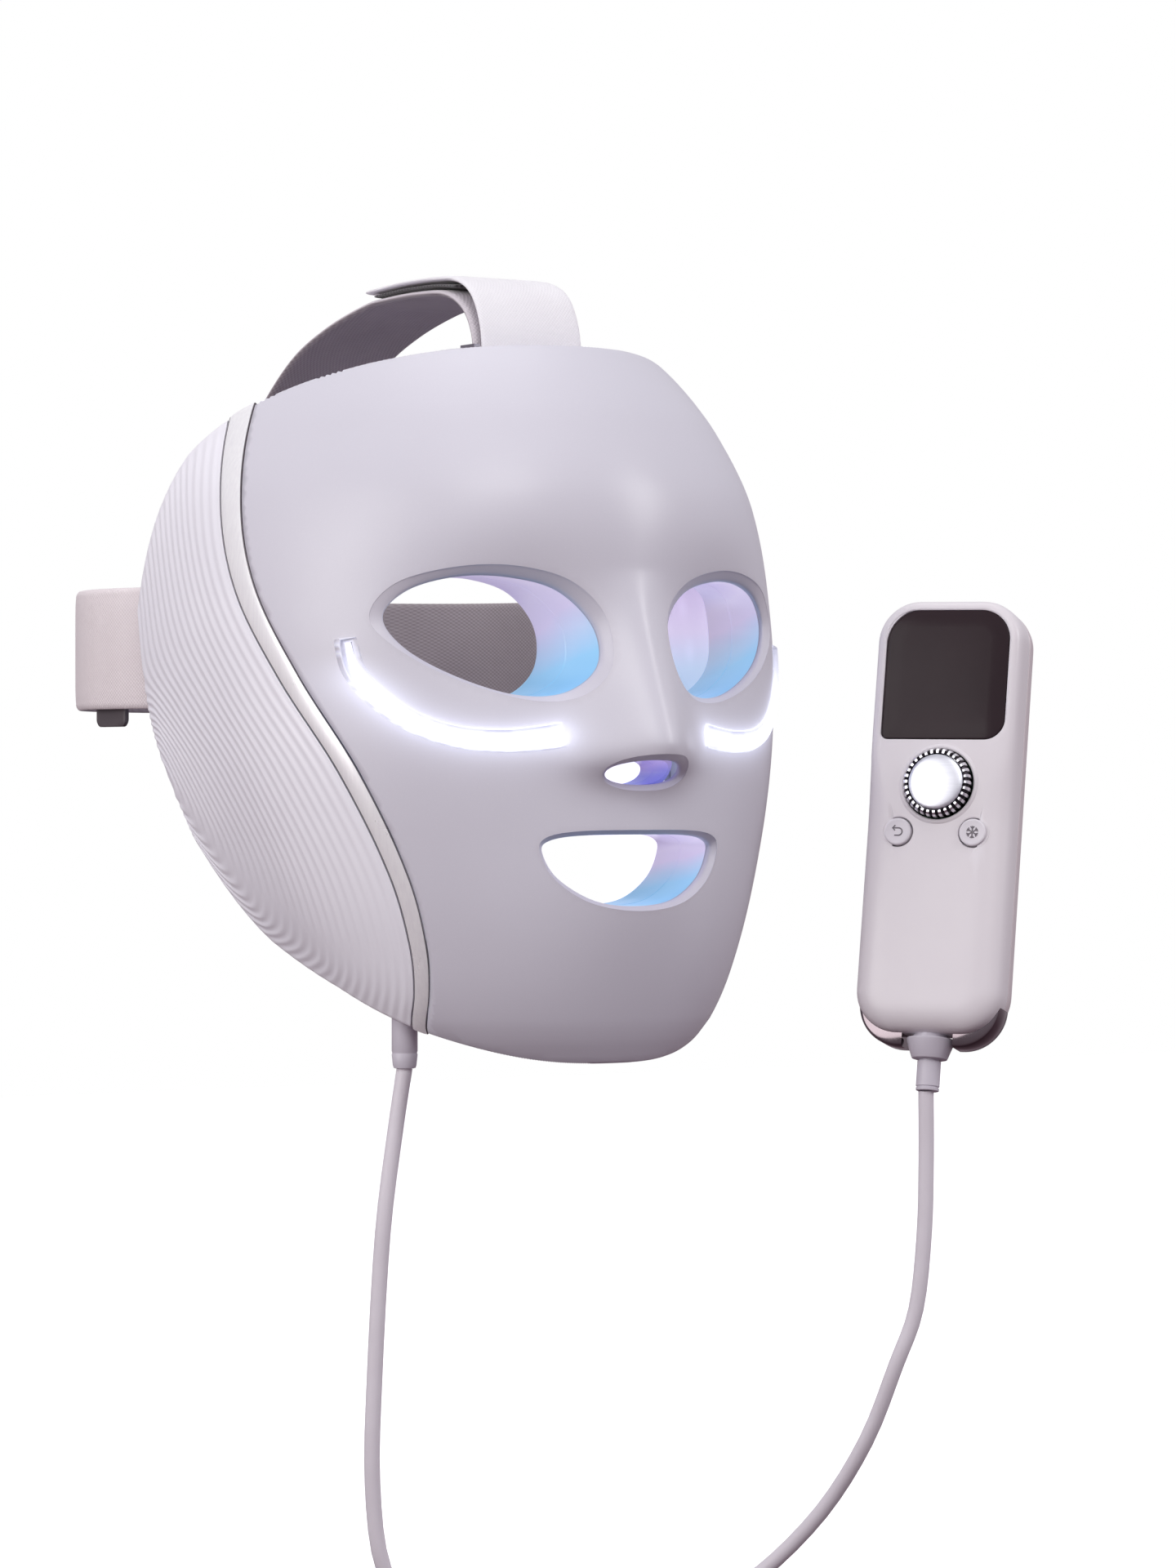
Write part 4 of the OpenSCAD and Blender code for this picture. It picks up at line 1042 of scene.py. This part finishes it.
def strap_piece(name, route, width, thickness, lift, steps=7, ridge=0.0):
    """A band of webbing along a flat route; lift puts (along the route, across the band) into the frame."""
    path = smooth_open(route, steps)
    side = line_normals(path)
    rings = []
    for i, (p, n) in enumerate(zip(path, side)):
        end = min(i, len(path) - 1 - i)
        narrow = 1.0 if end else 0.985
        ring = []
        for w, t in FLAT_SECTION:
            edge = 1 + ridge * math.exp(-((abs(w) - 0.93) / 0.03) ** 2)
            at = p + n * t * thickness / 2 * (edge if end else 0.8)
            ring.append(lift(at, w * width / 2 * narrow))
        rings.append(np.array(ring))
    return rings_mesh(name, rings, smooth_angle=50), float(np.linalg.norm(np.diff(path, axis=0), axis=1).sum())


def over_head(at, across):
    return (across, at[0], at[1])


def round_head(at, across):
    return (at[0], at[1], STRAP_Z + across)


def two_faced(name, outside, inside_colour, along, across):
    """Webbing with a light face and a darker face; the attribute outer says which face a point is on."""
    n = Nodes(name)
    threads, height = plain_weave(n, 0.0012, along, across)
    cloud = n.span(n.noise(30, 4), 0, 1)
    light, dark = (n.mix(cloud, linear(a), linear(b)) for a, b in (outside, inside_colour))
    base = n.mix(n.attribute("outer"), dark, light)
    base = n.mix(n.span(threads, 0, 0.12, -1, 1), base, linear("#ffffff"))
    return n.set(Base_Color=base, Roughness=n.span(n.noise(220, 3), 0.78, 0.9), Sheen_Weight=0.25,
                 Sheen_Roughness=0.4, Normal=n.bump(height, 0.55, 0.0001))


def mark_outer(piece, route, coordinates, way):
    """Gives points on the outer half of a strap the number 1; way is -1 where its route runs the other way round."""
    path = smooth_open(route, 7)
    side = line_normals(path)
    at = points_of(piece)[:, coordinates]
    nearest = np.array([np.argmin(np.linalg.norm(path - p, axis=1)) for p in at])
    over = way * ((at - path[nearest]) * side[nearest]).sum(1)
    numbers(piece, "outer", np.clip(over * 3 + 0.5, 0, 1))


rear_route = tuple(REAR_HALF) + tuple((-x, y) for x, y in REAR_HALF[-2::-1])
rear, rear_length = strap_piece("rear_band", rear_route, STRAP_W + 2, 3.0, round_head, ridge=0.12)
mark_outer(rear, rear_route, [0, 1], -1)
over, over_length = strap_piece("top_band", TOP_ROUTE, STRAP_W, 2.4, over_head, ridge=0.12)
mark_outer(over, TOP_ROUTE, [1, 2], 1)
flap, flap_length = strap_piece("flap_band", FLAP_ROUTE, STRAP_W, 1.8, over_head, ridge=0.1)
hook, hook_length = strap_piece("hook_layer", HOOK_ROUTE, STRAP_W - 1.5, 1.2, over_head)
rear_look = two_faced("strap_warm", ("#ddd3d6", "#e5dcdf"), ("#857b7e", "#8f8588"), "Z", "Y")
place(rear, rear_look, "root", "strap_warm", "rear_strap")
over_look = two_faced("strap_dark", ("#c9c1c8", "#d3ccd2"), ("#807579", "#8c8185"), "X", "Z")
place(over, over_look, "root", "strap_dark", "top_strap")
flap_look = woven("strap_light", "#e3e0e5", "#eae8ec", rough=0.7, strength=0.35)
place(flap, flap_look, "root", "strap_light", "strap_flap")
hook_material = woven("hook_fabric", "#18161a", "#252327", pitch=0.0017, across="Y", rough=0.9)
place(hook, hook_material, "root", "hook_fabric", "hook_patch")


def rounded_outline(w, h, radii, per_corner=12, per_side=8):
    """An upright outline with its own radius at each corner, from the lower left, and points along its sides."""
    corners = ((-1, -1, 180), (1, -1, 270), (1, 1, 0), (-1, 1, 90))
    arcs = []
    for (sx, sz, first), r in zip(corners, radii):
        a = np.radians(first + np.linspace(0, 90, per_corner))
        arcs.append(columns(sx * (w / 2 - r) + r * np.cos(a), sz * (h / 2 - r) + r * np.sin(a)))
    out = []
    for i, arc in enumerate(arcs):
        following = arcs[(i + 1) % 4][0]
        steps = np.arange(1, per_side + 1)[:, None] / (per_side + 1)
        out += [arc, arc[-1] + (following - arc[-1]) * steps]
    return np.concatenate(out)


slider_dark = moulded("slider_plastic", "#4a4347", "#565054", rough=0.5)
SLIDER_AT, SLIDER_TURN = (90.2, 141), math.radians(-4)
# inside the strap, and from below its lower edge to its upper edge
SLIDER_W, SLIDER_Y, SLIDER_Z = 17, (-4, -2), (-24.5, 18.3)
for name, turn in (("left", 1), ("right", -1)):
    rings = []
    tall, middle = SLIDER_Z[1] - SLIDER_Z[0], (SLIDER_Z[0] + SLIDER_Z[1]) / 2
    for inset, share in ((1.2, 0.0), (0.35, 0.03), (0.0, 0.2), (0.0, 0.8), (0.35, 0.97), (1.2, 1.0)):
        loop = rounded_outline(SLIDER_W - 2 * inset, tall - 2 * inset, (2.4 - inset * 0.8,) * 4, 8, 6)
        way = Euler((0, 0, SLIDER_TURN)).to_matrix()
        local = columns(np.full(len(loop), between(*SLIDER_Y, share)), loop[:, 0], loop[:, 1] + middle)
        world = local @ np.array(way).T + (*SLIDER_AT, STRAP_Z)
        rings.append(world * (turn, 1, 1))
    slider = rings_mesh("strap_clip_" + name, rings)
    place(slider, slider_dark, "root", "slider_plastic", "strap_sliders")

# ---------- handset
REMOTE_AT = np.array([105.3, -38.3, -58.8])
REMOTE_TURN = np.array(Euler([math.radians(a) for a in (-12, 0.5, -53)]).to_matrix())
REMOTE_W, REMOTE_H, REMOTE_T = 46, 138, 20
TAIL = 4
SEAM_Y = 1
DIAL_Z, DIAL_D = 11, 21
BUTTON_X, BUTTON_Z, BUTTON_D = 11.8, -4, 8.4
SCREEN_Z = 45.5


def on_remote(p):
    """Handset measures (across, deep, up) to the frame."""
    return np.asarray(p, float) @ REMOTE_TURN.T + REMOTE_AT


def remote_ring(inset, y, low_inset=None, radius=13.0):
    """An outline of the handset; below the screen it may be drawn in further, for a pillowed face."""
    low_inset = inset if low_inset is None else low_inset
    loop = rounded_outline(REMOTE_W, REMOTE_H - TAIL, (radius,) * 4, 16, 14)
    way = np.roll(loop, -1, 0) - np.roll(loop, 1, 0)
    way /= np.linalg.norm(way, axis=1, keepdims=True)
    share = smooth_step((22 - loop[:, 1]) / 26)
    move = between(inset, low_inset, share)
    loop = loop - columns(way[:, 1], -way[:, 0]) * move[:, None]
    return columns(loop[:, 0], y, loop[:, 1] + TAIL / 2)


FRONT_Y = -REMOTE_T / 2
# (inset, y, inset lower down) from the seam to the face
FACE_LEVELS = ((0.9, SEAM_Y, 0.9), (0.3, SEAM_Y - 0.05, 0.3), (0.0, SEAM_Y - 0.4, 0.0), (0.0, -2.5, 0.0),
               (0.02, -5.0, 0.12), (0.12, -6.6, 0.6), (0.35, -7.8, 1.5), (0.8, -8.8, 2.9), (1.35, -9.4, 4.4),
               (2.0, -9.78, 6.2), (2.7, -9.95, 8.0), (3.4, FRONT_Y, 9.6))
face_rings = [remote_ring(a, y, b) for a, y, b in FACE_LEVELS]
face_edge = face_rings[-1][:, [0, 2]]
angles = np.arange(72) / 72 * 2 * math.pi
circle = columns(np.cos(angles), np.sin(angles))
WELL_R, BUTTON_WELL_R = DIAL_D / 2 + 0.45, BUTTON_D / 2 + 0.42
SCREEN_W, SCREEN_H, SCREEN_RADII = 39, 41, (2.2, 6.4, 9.6, 11.2)
screen_loop = rounded_outline(SCREEN_W, SCREEN_H, SCREEN_RADII, 14, 10) + (0, SCREEN_Z)
wells = [(screen_loop, ((0.5, 0.0), (0.15, 0.1), (0.0, 0.45), (0.0, 1.5))),
         (circle * WELL_R + (0, DIAL_Z),
          ((1.5, 0.0), (1.05, -0.32), (0.55, -0.4), (0.15, -0.2), (0.0, 0.3), (0.0, 2.0)))]
KEY_WELL = ((0.4, 0.0), (0.2, 0.05), (0.05, 0.2), (0.0, 0.5), (0.0, 2.2))
wells += [(circle * BUTTON_WELL_R + (x, BUTTON_Z), KEY_WELL) for x in (-BUTTON_X, BUTTON_X)]
mouths = [grown(loop, steps[0][0]) for loop, steps in wells]
verts, tris = trimmed(face_edge, mouths, 2.2)
points = [columns(verts[:, 0], FRONT_Y, verts[:, 1])]
faces, count = [tuple(t) for t in tris], len(verts)
for loop, steps in wells:
    for out, deep in steps:
        ring = grown(loop, out)
        points.append(columns(ring[:, 0], FRONT_Y + deep, ring[:, 1]))
    faces += grid_faces(len(steps), len(loop), closed=True, start=count)
    count += len(steps) * len(loop)
points += face_rings
faces += grid_faces(len(face_rings), len(face_edge), closed=True, start=count)
cover = mesh("remote_face", on_remote(np.concatenate(points)), faces, 32)
faces_out(cover, tuple(-REMOTE_TURN[:, 1]))
thick(cover, 1.2)
remote_shell = moulded("handset_shell", "#d8d2d7", "#ded9dd", rough=0.36, coat=0.12, wear_and_highlight=0.25)
place(cover, remote_shell, "root", "handset_shell", "remote_front")

BACK_LEVELS = ((0.9, SEAM_Y + 0.15), (0.3, SEAM_Y + 0.2), (0.0, SEAM_Y + 0.55), (0.0, 4.0), (0.25, 6.2), (0.9, 7.8),
               (1.9, 8.9), (3.0, 9.6), (4.2, 9.93), (5.5, 10.0), (10, 10.0), (15, 10.0), (19, 10.0))
back_rings = [on_remote(remote_ring(a, y, radius=max(13.0, a + 1.0))) for a, y in BACK_LEVELS]
back_cover = rings_mesh("remote_rear", back_rings, smooth_angle=32)
place(back_cover, moulded("handset_back", "#c9bec2", "#d0c6ca", rough=0.4, wear_and_highlight=0.2), "root", "handset_shell",
      "remote_back")

# black glass
glass_rings = []
for inset, y in ((0.25, FRONT_Y + 1.5), (0.15, FRONT_Y + 0.45), (0.3, FRONT_Y + 0.2), (0.8, FRONT_Y + 0.1),
                 (6.0, FRONT_Y + 0.06), (12, FRONT_Y + 0.05)):
    radii = [max(r - inset, 0.6) for r in SCREEN_RADII]
    loop = rounded_outline(SCREEN_W - 2 * inset, SCREEN_H - 2 * inset, radii, 14, 10)
    glass_rings.append(on_remote(columns(loop[:, 0], y, loop[:, 1] + SCREEN_Z)))
glass = rings_mesh("display_glass", glass_rings)


def glass_material():
    n = Nodes("screen_glass")
    base = n.cloud("#2f2529", "#34292d", 25, 3)
    return n.set(Base_Color=base, Roughness=n.span(n.noise(30, 5, 0.7), 0.12, 0.2), Specular_IOR_Level=0.1,
                 Normal=n.bump(n.noise(20, 1), 0.05, 0.00001))


place(glass, glass_material(), "root", "screen_glass", "screen_window")

# knurled dial ring with a polished cap
TEETH, PER_TOOTH = 32, 9
steps = np.arange(TEETH * PER_TOOTH)
notch = (np.abs(((steps / PER_TOOTH) % 1) - 0.5) < 0.24).astype(float)
turn = steps / len(steps) * 2 * math.pi
ring_levels = ((DIAL_D / 2 - 0.1, -9.3, 0), (DIAL_D / 2 + 0.1, -10.2, 0.35), (DIAL_D / 2 + 0.1, -12.4, 0.45),
               (DIAL_D / 2 - 0.25, -13.2, 0.5), (DIAL_D / 2 - 0.9, -13.58, 0.55), (DIAL_D / 2 - 1.55, -13.6, 0.5),
               (DIAL_D / 2 - 1.62, -13.5, 0), (DIAL_D / 2 - 1.7, -12.0, 0), (DIAL_D / 2 - 1.7, -10.6, 0),
               (3.1, -10.6, 0), (3.1, -9.3, 0))
rings = []
for r, y, cut in ring_levels:
    radius = r - notch * cut * (0.9 if y > -13 else 0.35)
    depth = y + notch * cut * (1.2 if y < -13.1 else 0)
    rings.append(on_remote(columns(radius * np.cos(turn), depth, DIAL_Z + radius * np.sin(turn))))
dial = rings_mesh("dial_grip", rings, loop=True, smooth_angle=25)
# painted shade: the notch columns of the knurled ring are marked to be painted dark
numbers(dial, "notch", np.tile(notch, len(ring_levels))[:len(dial.data.vertices)])


def dial_material():
    n = Nodes("dial_metal")
    metal = n.cloud("#d8d6dc", "#f2f1f5", 200, 3)
    # painted shade: the notches are painted dark
    base = n.mix(n.attribute("notch"), metal, linear("#2e2a2f"))
    return n.set(Base_Color=base, Metallic=1.0, Roughness=n.span(n.noise(300, 3), 0.16, 0.28),
                 Normal=n.bump(n.noise(1500, 2), 0.2, 0.00001))


place(dial, dial_material(), "dial", "dial_metal", "dial_ring")
CAP_R = DIAL_D / 2 - 1.9
cap_profile = ((0, -5.0), (2.0, -5.0), (2.0, -12.2), (CAP_R, -12.2), (CAP_R, -13.3), (CAP_R - 0.15, -13.55),
               (CAP_R - 0.5, -13.72), (7.4, -13.88), (6.0, -14.02), (4.4, -14.12), (2.6, -14.18), (0.9, -14.2),
               (0, -14.2))


def dial_place(p):
    return on_remote(columns(p[:, 0], p[:, 1], DIAL_Z + p[:, 2]))


cap = revolved("dial_button", cap_profile, dial_place, 96, 30)
place(cap, brushed("dial_cap_metal", "#cdced6", "#dcdde4", rough=0.33, stretch=(40, 40, 1600)), "dial_push",
      "polished_trim", "dial_cap")

# two keys with inlaid signs
key_plastic = moulded("handset_key", "#d5d0d7", "#dcd8de", rough=0.38, wear_and_highlight=0.3)
sign_ink = moulded("sign_ink", "#5d565e", "#6a636b", rough=0.5)


def key_place(x):
    return lambda p: on_remote(columns(x + p[:, 0], p[:, 1], BUTTON_Z + p[:, 2]))


def stroke(route, half, x):
    """Rings of a thin raised line on a key, along points across and up from the key's middle."""
    p = np.array(route, float)
    side = line_normals(p) * half
    levels = ((-KEY_TOP + 0.05, 1.0), (-KEY_TOP - 0.1, 1.0), (-KEY_TOP - 0.14, 0.7))
    rings = []
    for q, n in zip(p, side):
        ring = [(q[0] + n[0] * k, y, q[1] + n[1] * k) for y, k in levels]
        ring += [(q[0] - n[0] * k, y, q[1] - n[1] * k) for y, k in levels[::-1]]
        rings.append(on_remote(np.array(ring) + (x, 0, BUTTON_Z)))
    return rings


KEY_TOP = 10.72
key_profile = ((0, -6.3), (1, -6.3), (1, -7.15), (5.0, -7.15), (5.0, -7.6), (BUTTON_D / 2, -7.65),
               (BUTTON_D / 2, -10.45), (BUTTON_D / 2 - 0.12, -10.7), (BUTTON_D / 2 - 0.4, -10.86),
               (BUTTON_D / 2 - 0.75, -10.86), (BUTTON_D / 2 - 1.2, -10.76), (1.8, -KEY_TOP), (0, -KEY_TOP))
arc = [(1.15 * math.cos(a) + 0.35, 1.15 * math.sin(a) - 0.1) for a in np.radians(np.linspace(-90, 90, 12))]
BACK_SIGN = [[(-0.9, -1.25), (0.0, -1.25)] + arc + [(-0.6, 1.05), (-1.5, 1.05)],
             [(-0.75, 1.85), (-1.6, 1.05), (-0.75, 0.25)]]
SNOW_SIGN = []
for k in range(6):
    a = math.radians(60 * k + 30)
    way, side_way = np.array([math.cos(a), math.sin(a)]), np.array([-math.sin(a), math.cos(a)])
    SNOW_SIGN.append([way * 0.1, way * 1.9])
    SNOW_SIGN.append([way * 1.75 + side_way * 0.6, way * 1.15, way * 1.75 - side_way * 0.6])
for name, x, sign in (("back", -BUTTON_X, BACK_SIGN), ("cool", BUTTON_X, SNOW_SIGN)):
    key = revolved(name + "_key", key_profile, key_place(x), 64, 30)
    place(key, key_plastic, name + "_key", "handset_key", name + "_button")
    points, faces = [], []
    for route in sign:
        rings = stroke(route, 0.2, x)
        start = sum(len(p) for p in points)
        points += rings
        faces += grid_faces(len(rings), 6, closed=True, start=start)
        last = start + 6 * len(rings)
        faces += [tuple(range(start, start + 6)), tuple(range(last - 6, last))]
    ink = mesh(name + "_sign", np.concatenate(points), faces)
    place(ink, sign_ink, name + "_key", "handset_key")


def remote_axis(p):
    return on_remote(columns(p[:, 0], p[:, 2], p[:, 1]))


sleeve_profile = ((0, -60), (5.4, -60), (5.4, -66.0), (7.2, -66.1), (7.35, -66.4), (7.25, -67.2), (5.6, -71.7),
                  (5.35, -72.2), (4.6, -72.4), (3.1, -72.5), (3.1, -72.9), (3.6, -73.0), (3.6, -80.6), (3.3, -80.75),
                  (3.3, -81.05), (3.55, -81.2), (3.5, -81.9), (3.3, -82.0), (0, -82.0))
sleeve = revolved("remote_sleeve", sleeve_profile, remote_axis, 48, 30)
place(sleeve, jacket, "root", "cord_jacket", "remote_gland")

# ---------- materials of the CAD pieces that are shown as they are
copper_green = moulded("circuit_board", "#2c6448", "#35745a", rough=0.45)
BOARDS = ("led_board_forehead", "led_board_right", "led_board_left", "led_board_chin", "main_board", "remote_board")
plain = {
    **dict.fromkeys(BOARDS, copper_green),
    "peltiers": moulded("ceramic", "#eceae4", "#f3f1ec", rough=0.55),
    "fan_housing_right": moulded("fan_plastic", "#333338", "#3e3e44", rough=0.5),
    "battery": moulded("battery_wrap", "#8f99a2", "#a3acb4", rough=0.3),
    "heat_sinks": brushed("heat_sink", "#a9adb5", "#bcc0c7", rough=0.38),
    "cold_plate_right": brushed("cold_metal", "#cdd2d8", "#dfe3e8", rough=0.3, stretch=(40, 40, 1500)),
    "mask_screws": brushed("screw_steel", "#94949c", "#a8a8b0", rough=0.35),
    "top_anchor": brushed("anchor_metal", "#8b8892", "#9b98a1", rough=0.38),
}
led_look = Nodes("led")
led_look.set(Base_Color=led_look.cloud("#f3d9ea", "#ffe9f4", 300, 3), Emission_Color=linear("#d9b0f0"),
             Emission_Strength=led_look.span(led_look.noise(200), 0.5, 0.9), Roughness=0.3)
plain["leds"] = led_look.material
same = {"fan_housing_left": "fan_housing_right", "fan_impeller_left": "fan_housing_right",
        "fan_impeller_right": "fan_housing_right", "dial_encoder": "fan_housing_right",
        "button_switches": "fan_housing_right", "display_module": "fan_housing_right",
        "cold_plate_left": "cold_plate_right", "usb_port": "mask_screws", "remote_screws": "mask_screws",
        "side_anchors": "top_anchor"}
for node, like in same.items():
    plain[node] = plain[like]


def chrome_material():
    n = Nodes("polished_trim")
    base = n.cloud("#6d6368", "#82787d", 40, 3)
    return n.set(Base_Color=base, Metallic=1.0, Roughness=n.span(n.noise(160, 4), 0.08, 0.16),
                 Normal=n.bump(n.noise(600, 2), 0.1, 0.00001))


for node, material in plain.items():
    on(NODES[node], material)

# polished crescents under the handset, one each side of its cord
TRIM_Y, TRIM_IN, TRIM_GAP = (-4.2, 6.3), 4.4, 7.8
trim_path = rounded_outline(REMOTE_W - 1.6, REMOTE_H, (13.0,) * 4, 40, 30)
trim_out = np.roll(trim_path, -1, 0) - np.roll(trim_path, 1, 0)
trim_out = columns(trim_out[:, 1], -trim_out[:, 0]) / np.linalg.norm(trim_out, axis=1, keepdims=True)
TRIM_SECTION = ((-TRIM_IN, TRIM_Y[0]), (-0.9, TRIM_Y[0]), (-0.35, TRIM_Y[0] + 0.25), (0, TRIM_Y[0] + 1),
                (0, TRIM_Y[1] - 1), (-0.35, TRIM_Y[1] - 0.25), (-0.9, TRIM_Y[1]), (-TRIM_IN, TRIM_Y[1]))
out, deep = np.array(TRIM_SECTION).T
chrome = chrome_material()
for name, way in (("right", -1), ("left", 1)):
    chosen = (trim_path[:, 0] * way > TRIM_GAP) & (trim_path[:, 1] < -REMOTE_H / 2 + 12.5)
    where = np.argsort(trim_path[chosen][:, 1] * 100 + trim_path[chosen][:, 0] * way)
    rings = [on_remote(columns(p[0] + n[0] * out, deep, p[1] + n[1] * out))
             for p, n in zip(trim_path[chosen][where], trim_out[chosen][where])]
    crescent = rings_mesh("tail_crescent_" + name, rings, smooth_angle=35)
    place(crescent, chrome, "root", "polished_trim", "tail_trim")

# ---------- floor, light and background
FLOOR_HALF = 2.5
floor_data = bpy.data.meshes.new("floor")
floor_data.from_pydata([(x * FLOOR_HALF, y * FLOOR_HALF, FLOOR_Z * MM)
                        for x, y in ((-1, -1), (1, -1), (1, 1), (-1, 1))], [], [(0, 1, 2, 3)])
floor = bpy.data.objects.new("floor", floor_data)
scene.collection.objects.link(floor)
pale = Nodes("floor_white")
on(floor, pale.set(Base_Color=pale.cloud("#fafafa", "#ffffff", 3, 3), Emission_Color=linear("#ffffff"),
                   Emission_Strength=0.6, Roughness=0.9))
floor.visible_diffuse = floor.visible_glossy = False

world = bpy.data.worlds.new("studio")
world.use_nodes = True
scene.world = world
tree = world.node_tree
tree.nodes.clear()
direction, split, ramp, span, seen, white, lighting, choose, out = (
    tree.nodes.new("ShaderNode" + kind) for kind in ("TexCoord", "SeparateXYZ", "ValToRGB", "MapRange", "LightPath",
                                                     "Background", "Background", "MixShader", "OutputWorld"))
span.inputs[1].default_value, span.inputs[2].default_value = -1, 1
SKY = ((0.0, "#5c464f"), (0.3, "#7f6a74"), (0.5, "#b4a9b1"), (0.66, "#d3d0d8"), (1.0, "#e6e5ea"))
while len(ramp.color_ramp.elements) < len(SKY):
    ramp.color_ramp.elements.new(0.5)
for mark, (at, colour) in zip(ramp.color_ramp.elements, SKY):
    mark.position, mark.color = at, linear(colour)
white.inputs["Color"].default_value = (1, 1, 1, 1)
WORLD_STRENGTH = 0.85
lighting.inputs["Strength"].default_value = WORLD_STRENGTH
for a, b in ((direction.outputs["Generated"], split.inputs[0]), (split.outputs["Z"], span.inputs[0]),
             (span.outputs[0], ramp.inputs[0]), (ramp.outputs["Color"], lighting.inputs["Color"]),
             (seen.outputs["Is Camera Ray"], choose.inputs[0]), (lighting.outputs[0], choose.inputs[1]),
             (white.outputs[0], choose.inputs[2]), (choose.outputs[0], out.inputs["Surface"])):
    tree.links.new(a, b)


def soft_light(name, at, target, size, power, colour="#ffffff", tall=1.0):
    """A soft box that looks at target."""
    data = bpy.data.lights.new(name, "AREA")
    data.shape, data.size, data.size_y = "ELLIPSE", size, size * tall
    data.energy, data.color = power, linear(colour)[:3]
    lamp = bpy.data.objects.new(name, data)
    scene.collection.objects.link(lamp)
    lamp.location = at
    lamp.rotation_euler = (Vector(target) - Vector(at)).to_track_quat("-Z", "Y").to_euler()


soft_light("key", (-0.62, -1.1, 1.0), (0, 0, 0), 0.8, 5.6, "#fffffd")
soft_light("top", (0.0, 0.2, 1.3), (0, 0.05, 0), 0.9, 2)
soft_light("left", (-1.35, -0.15, 0.35), (0, 0.05, 0), 1.0, 8.5, "#fffefb")
soft_light("midline", (0.85, -0.98, 0.6), (0, 0, 0), 0.4, 5, tall=1.6)
soft_light("right_rim", (1.2, -0.3, 0.4), (0, 0, 0), 0.7, 0.4, "#fdf9fb")
scene.view_settings.view_transform = "Standard"
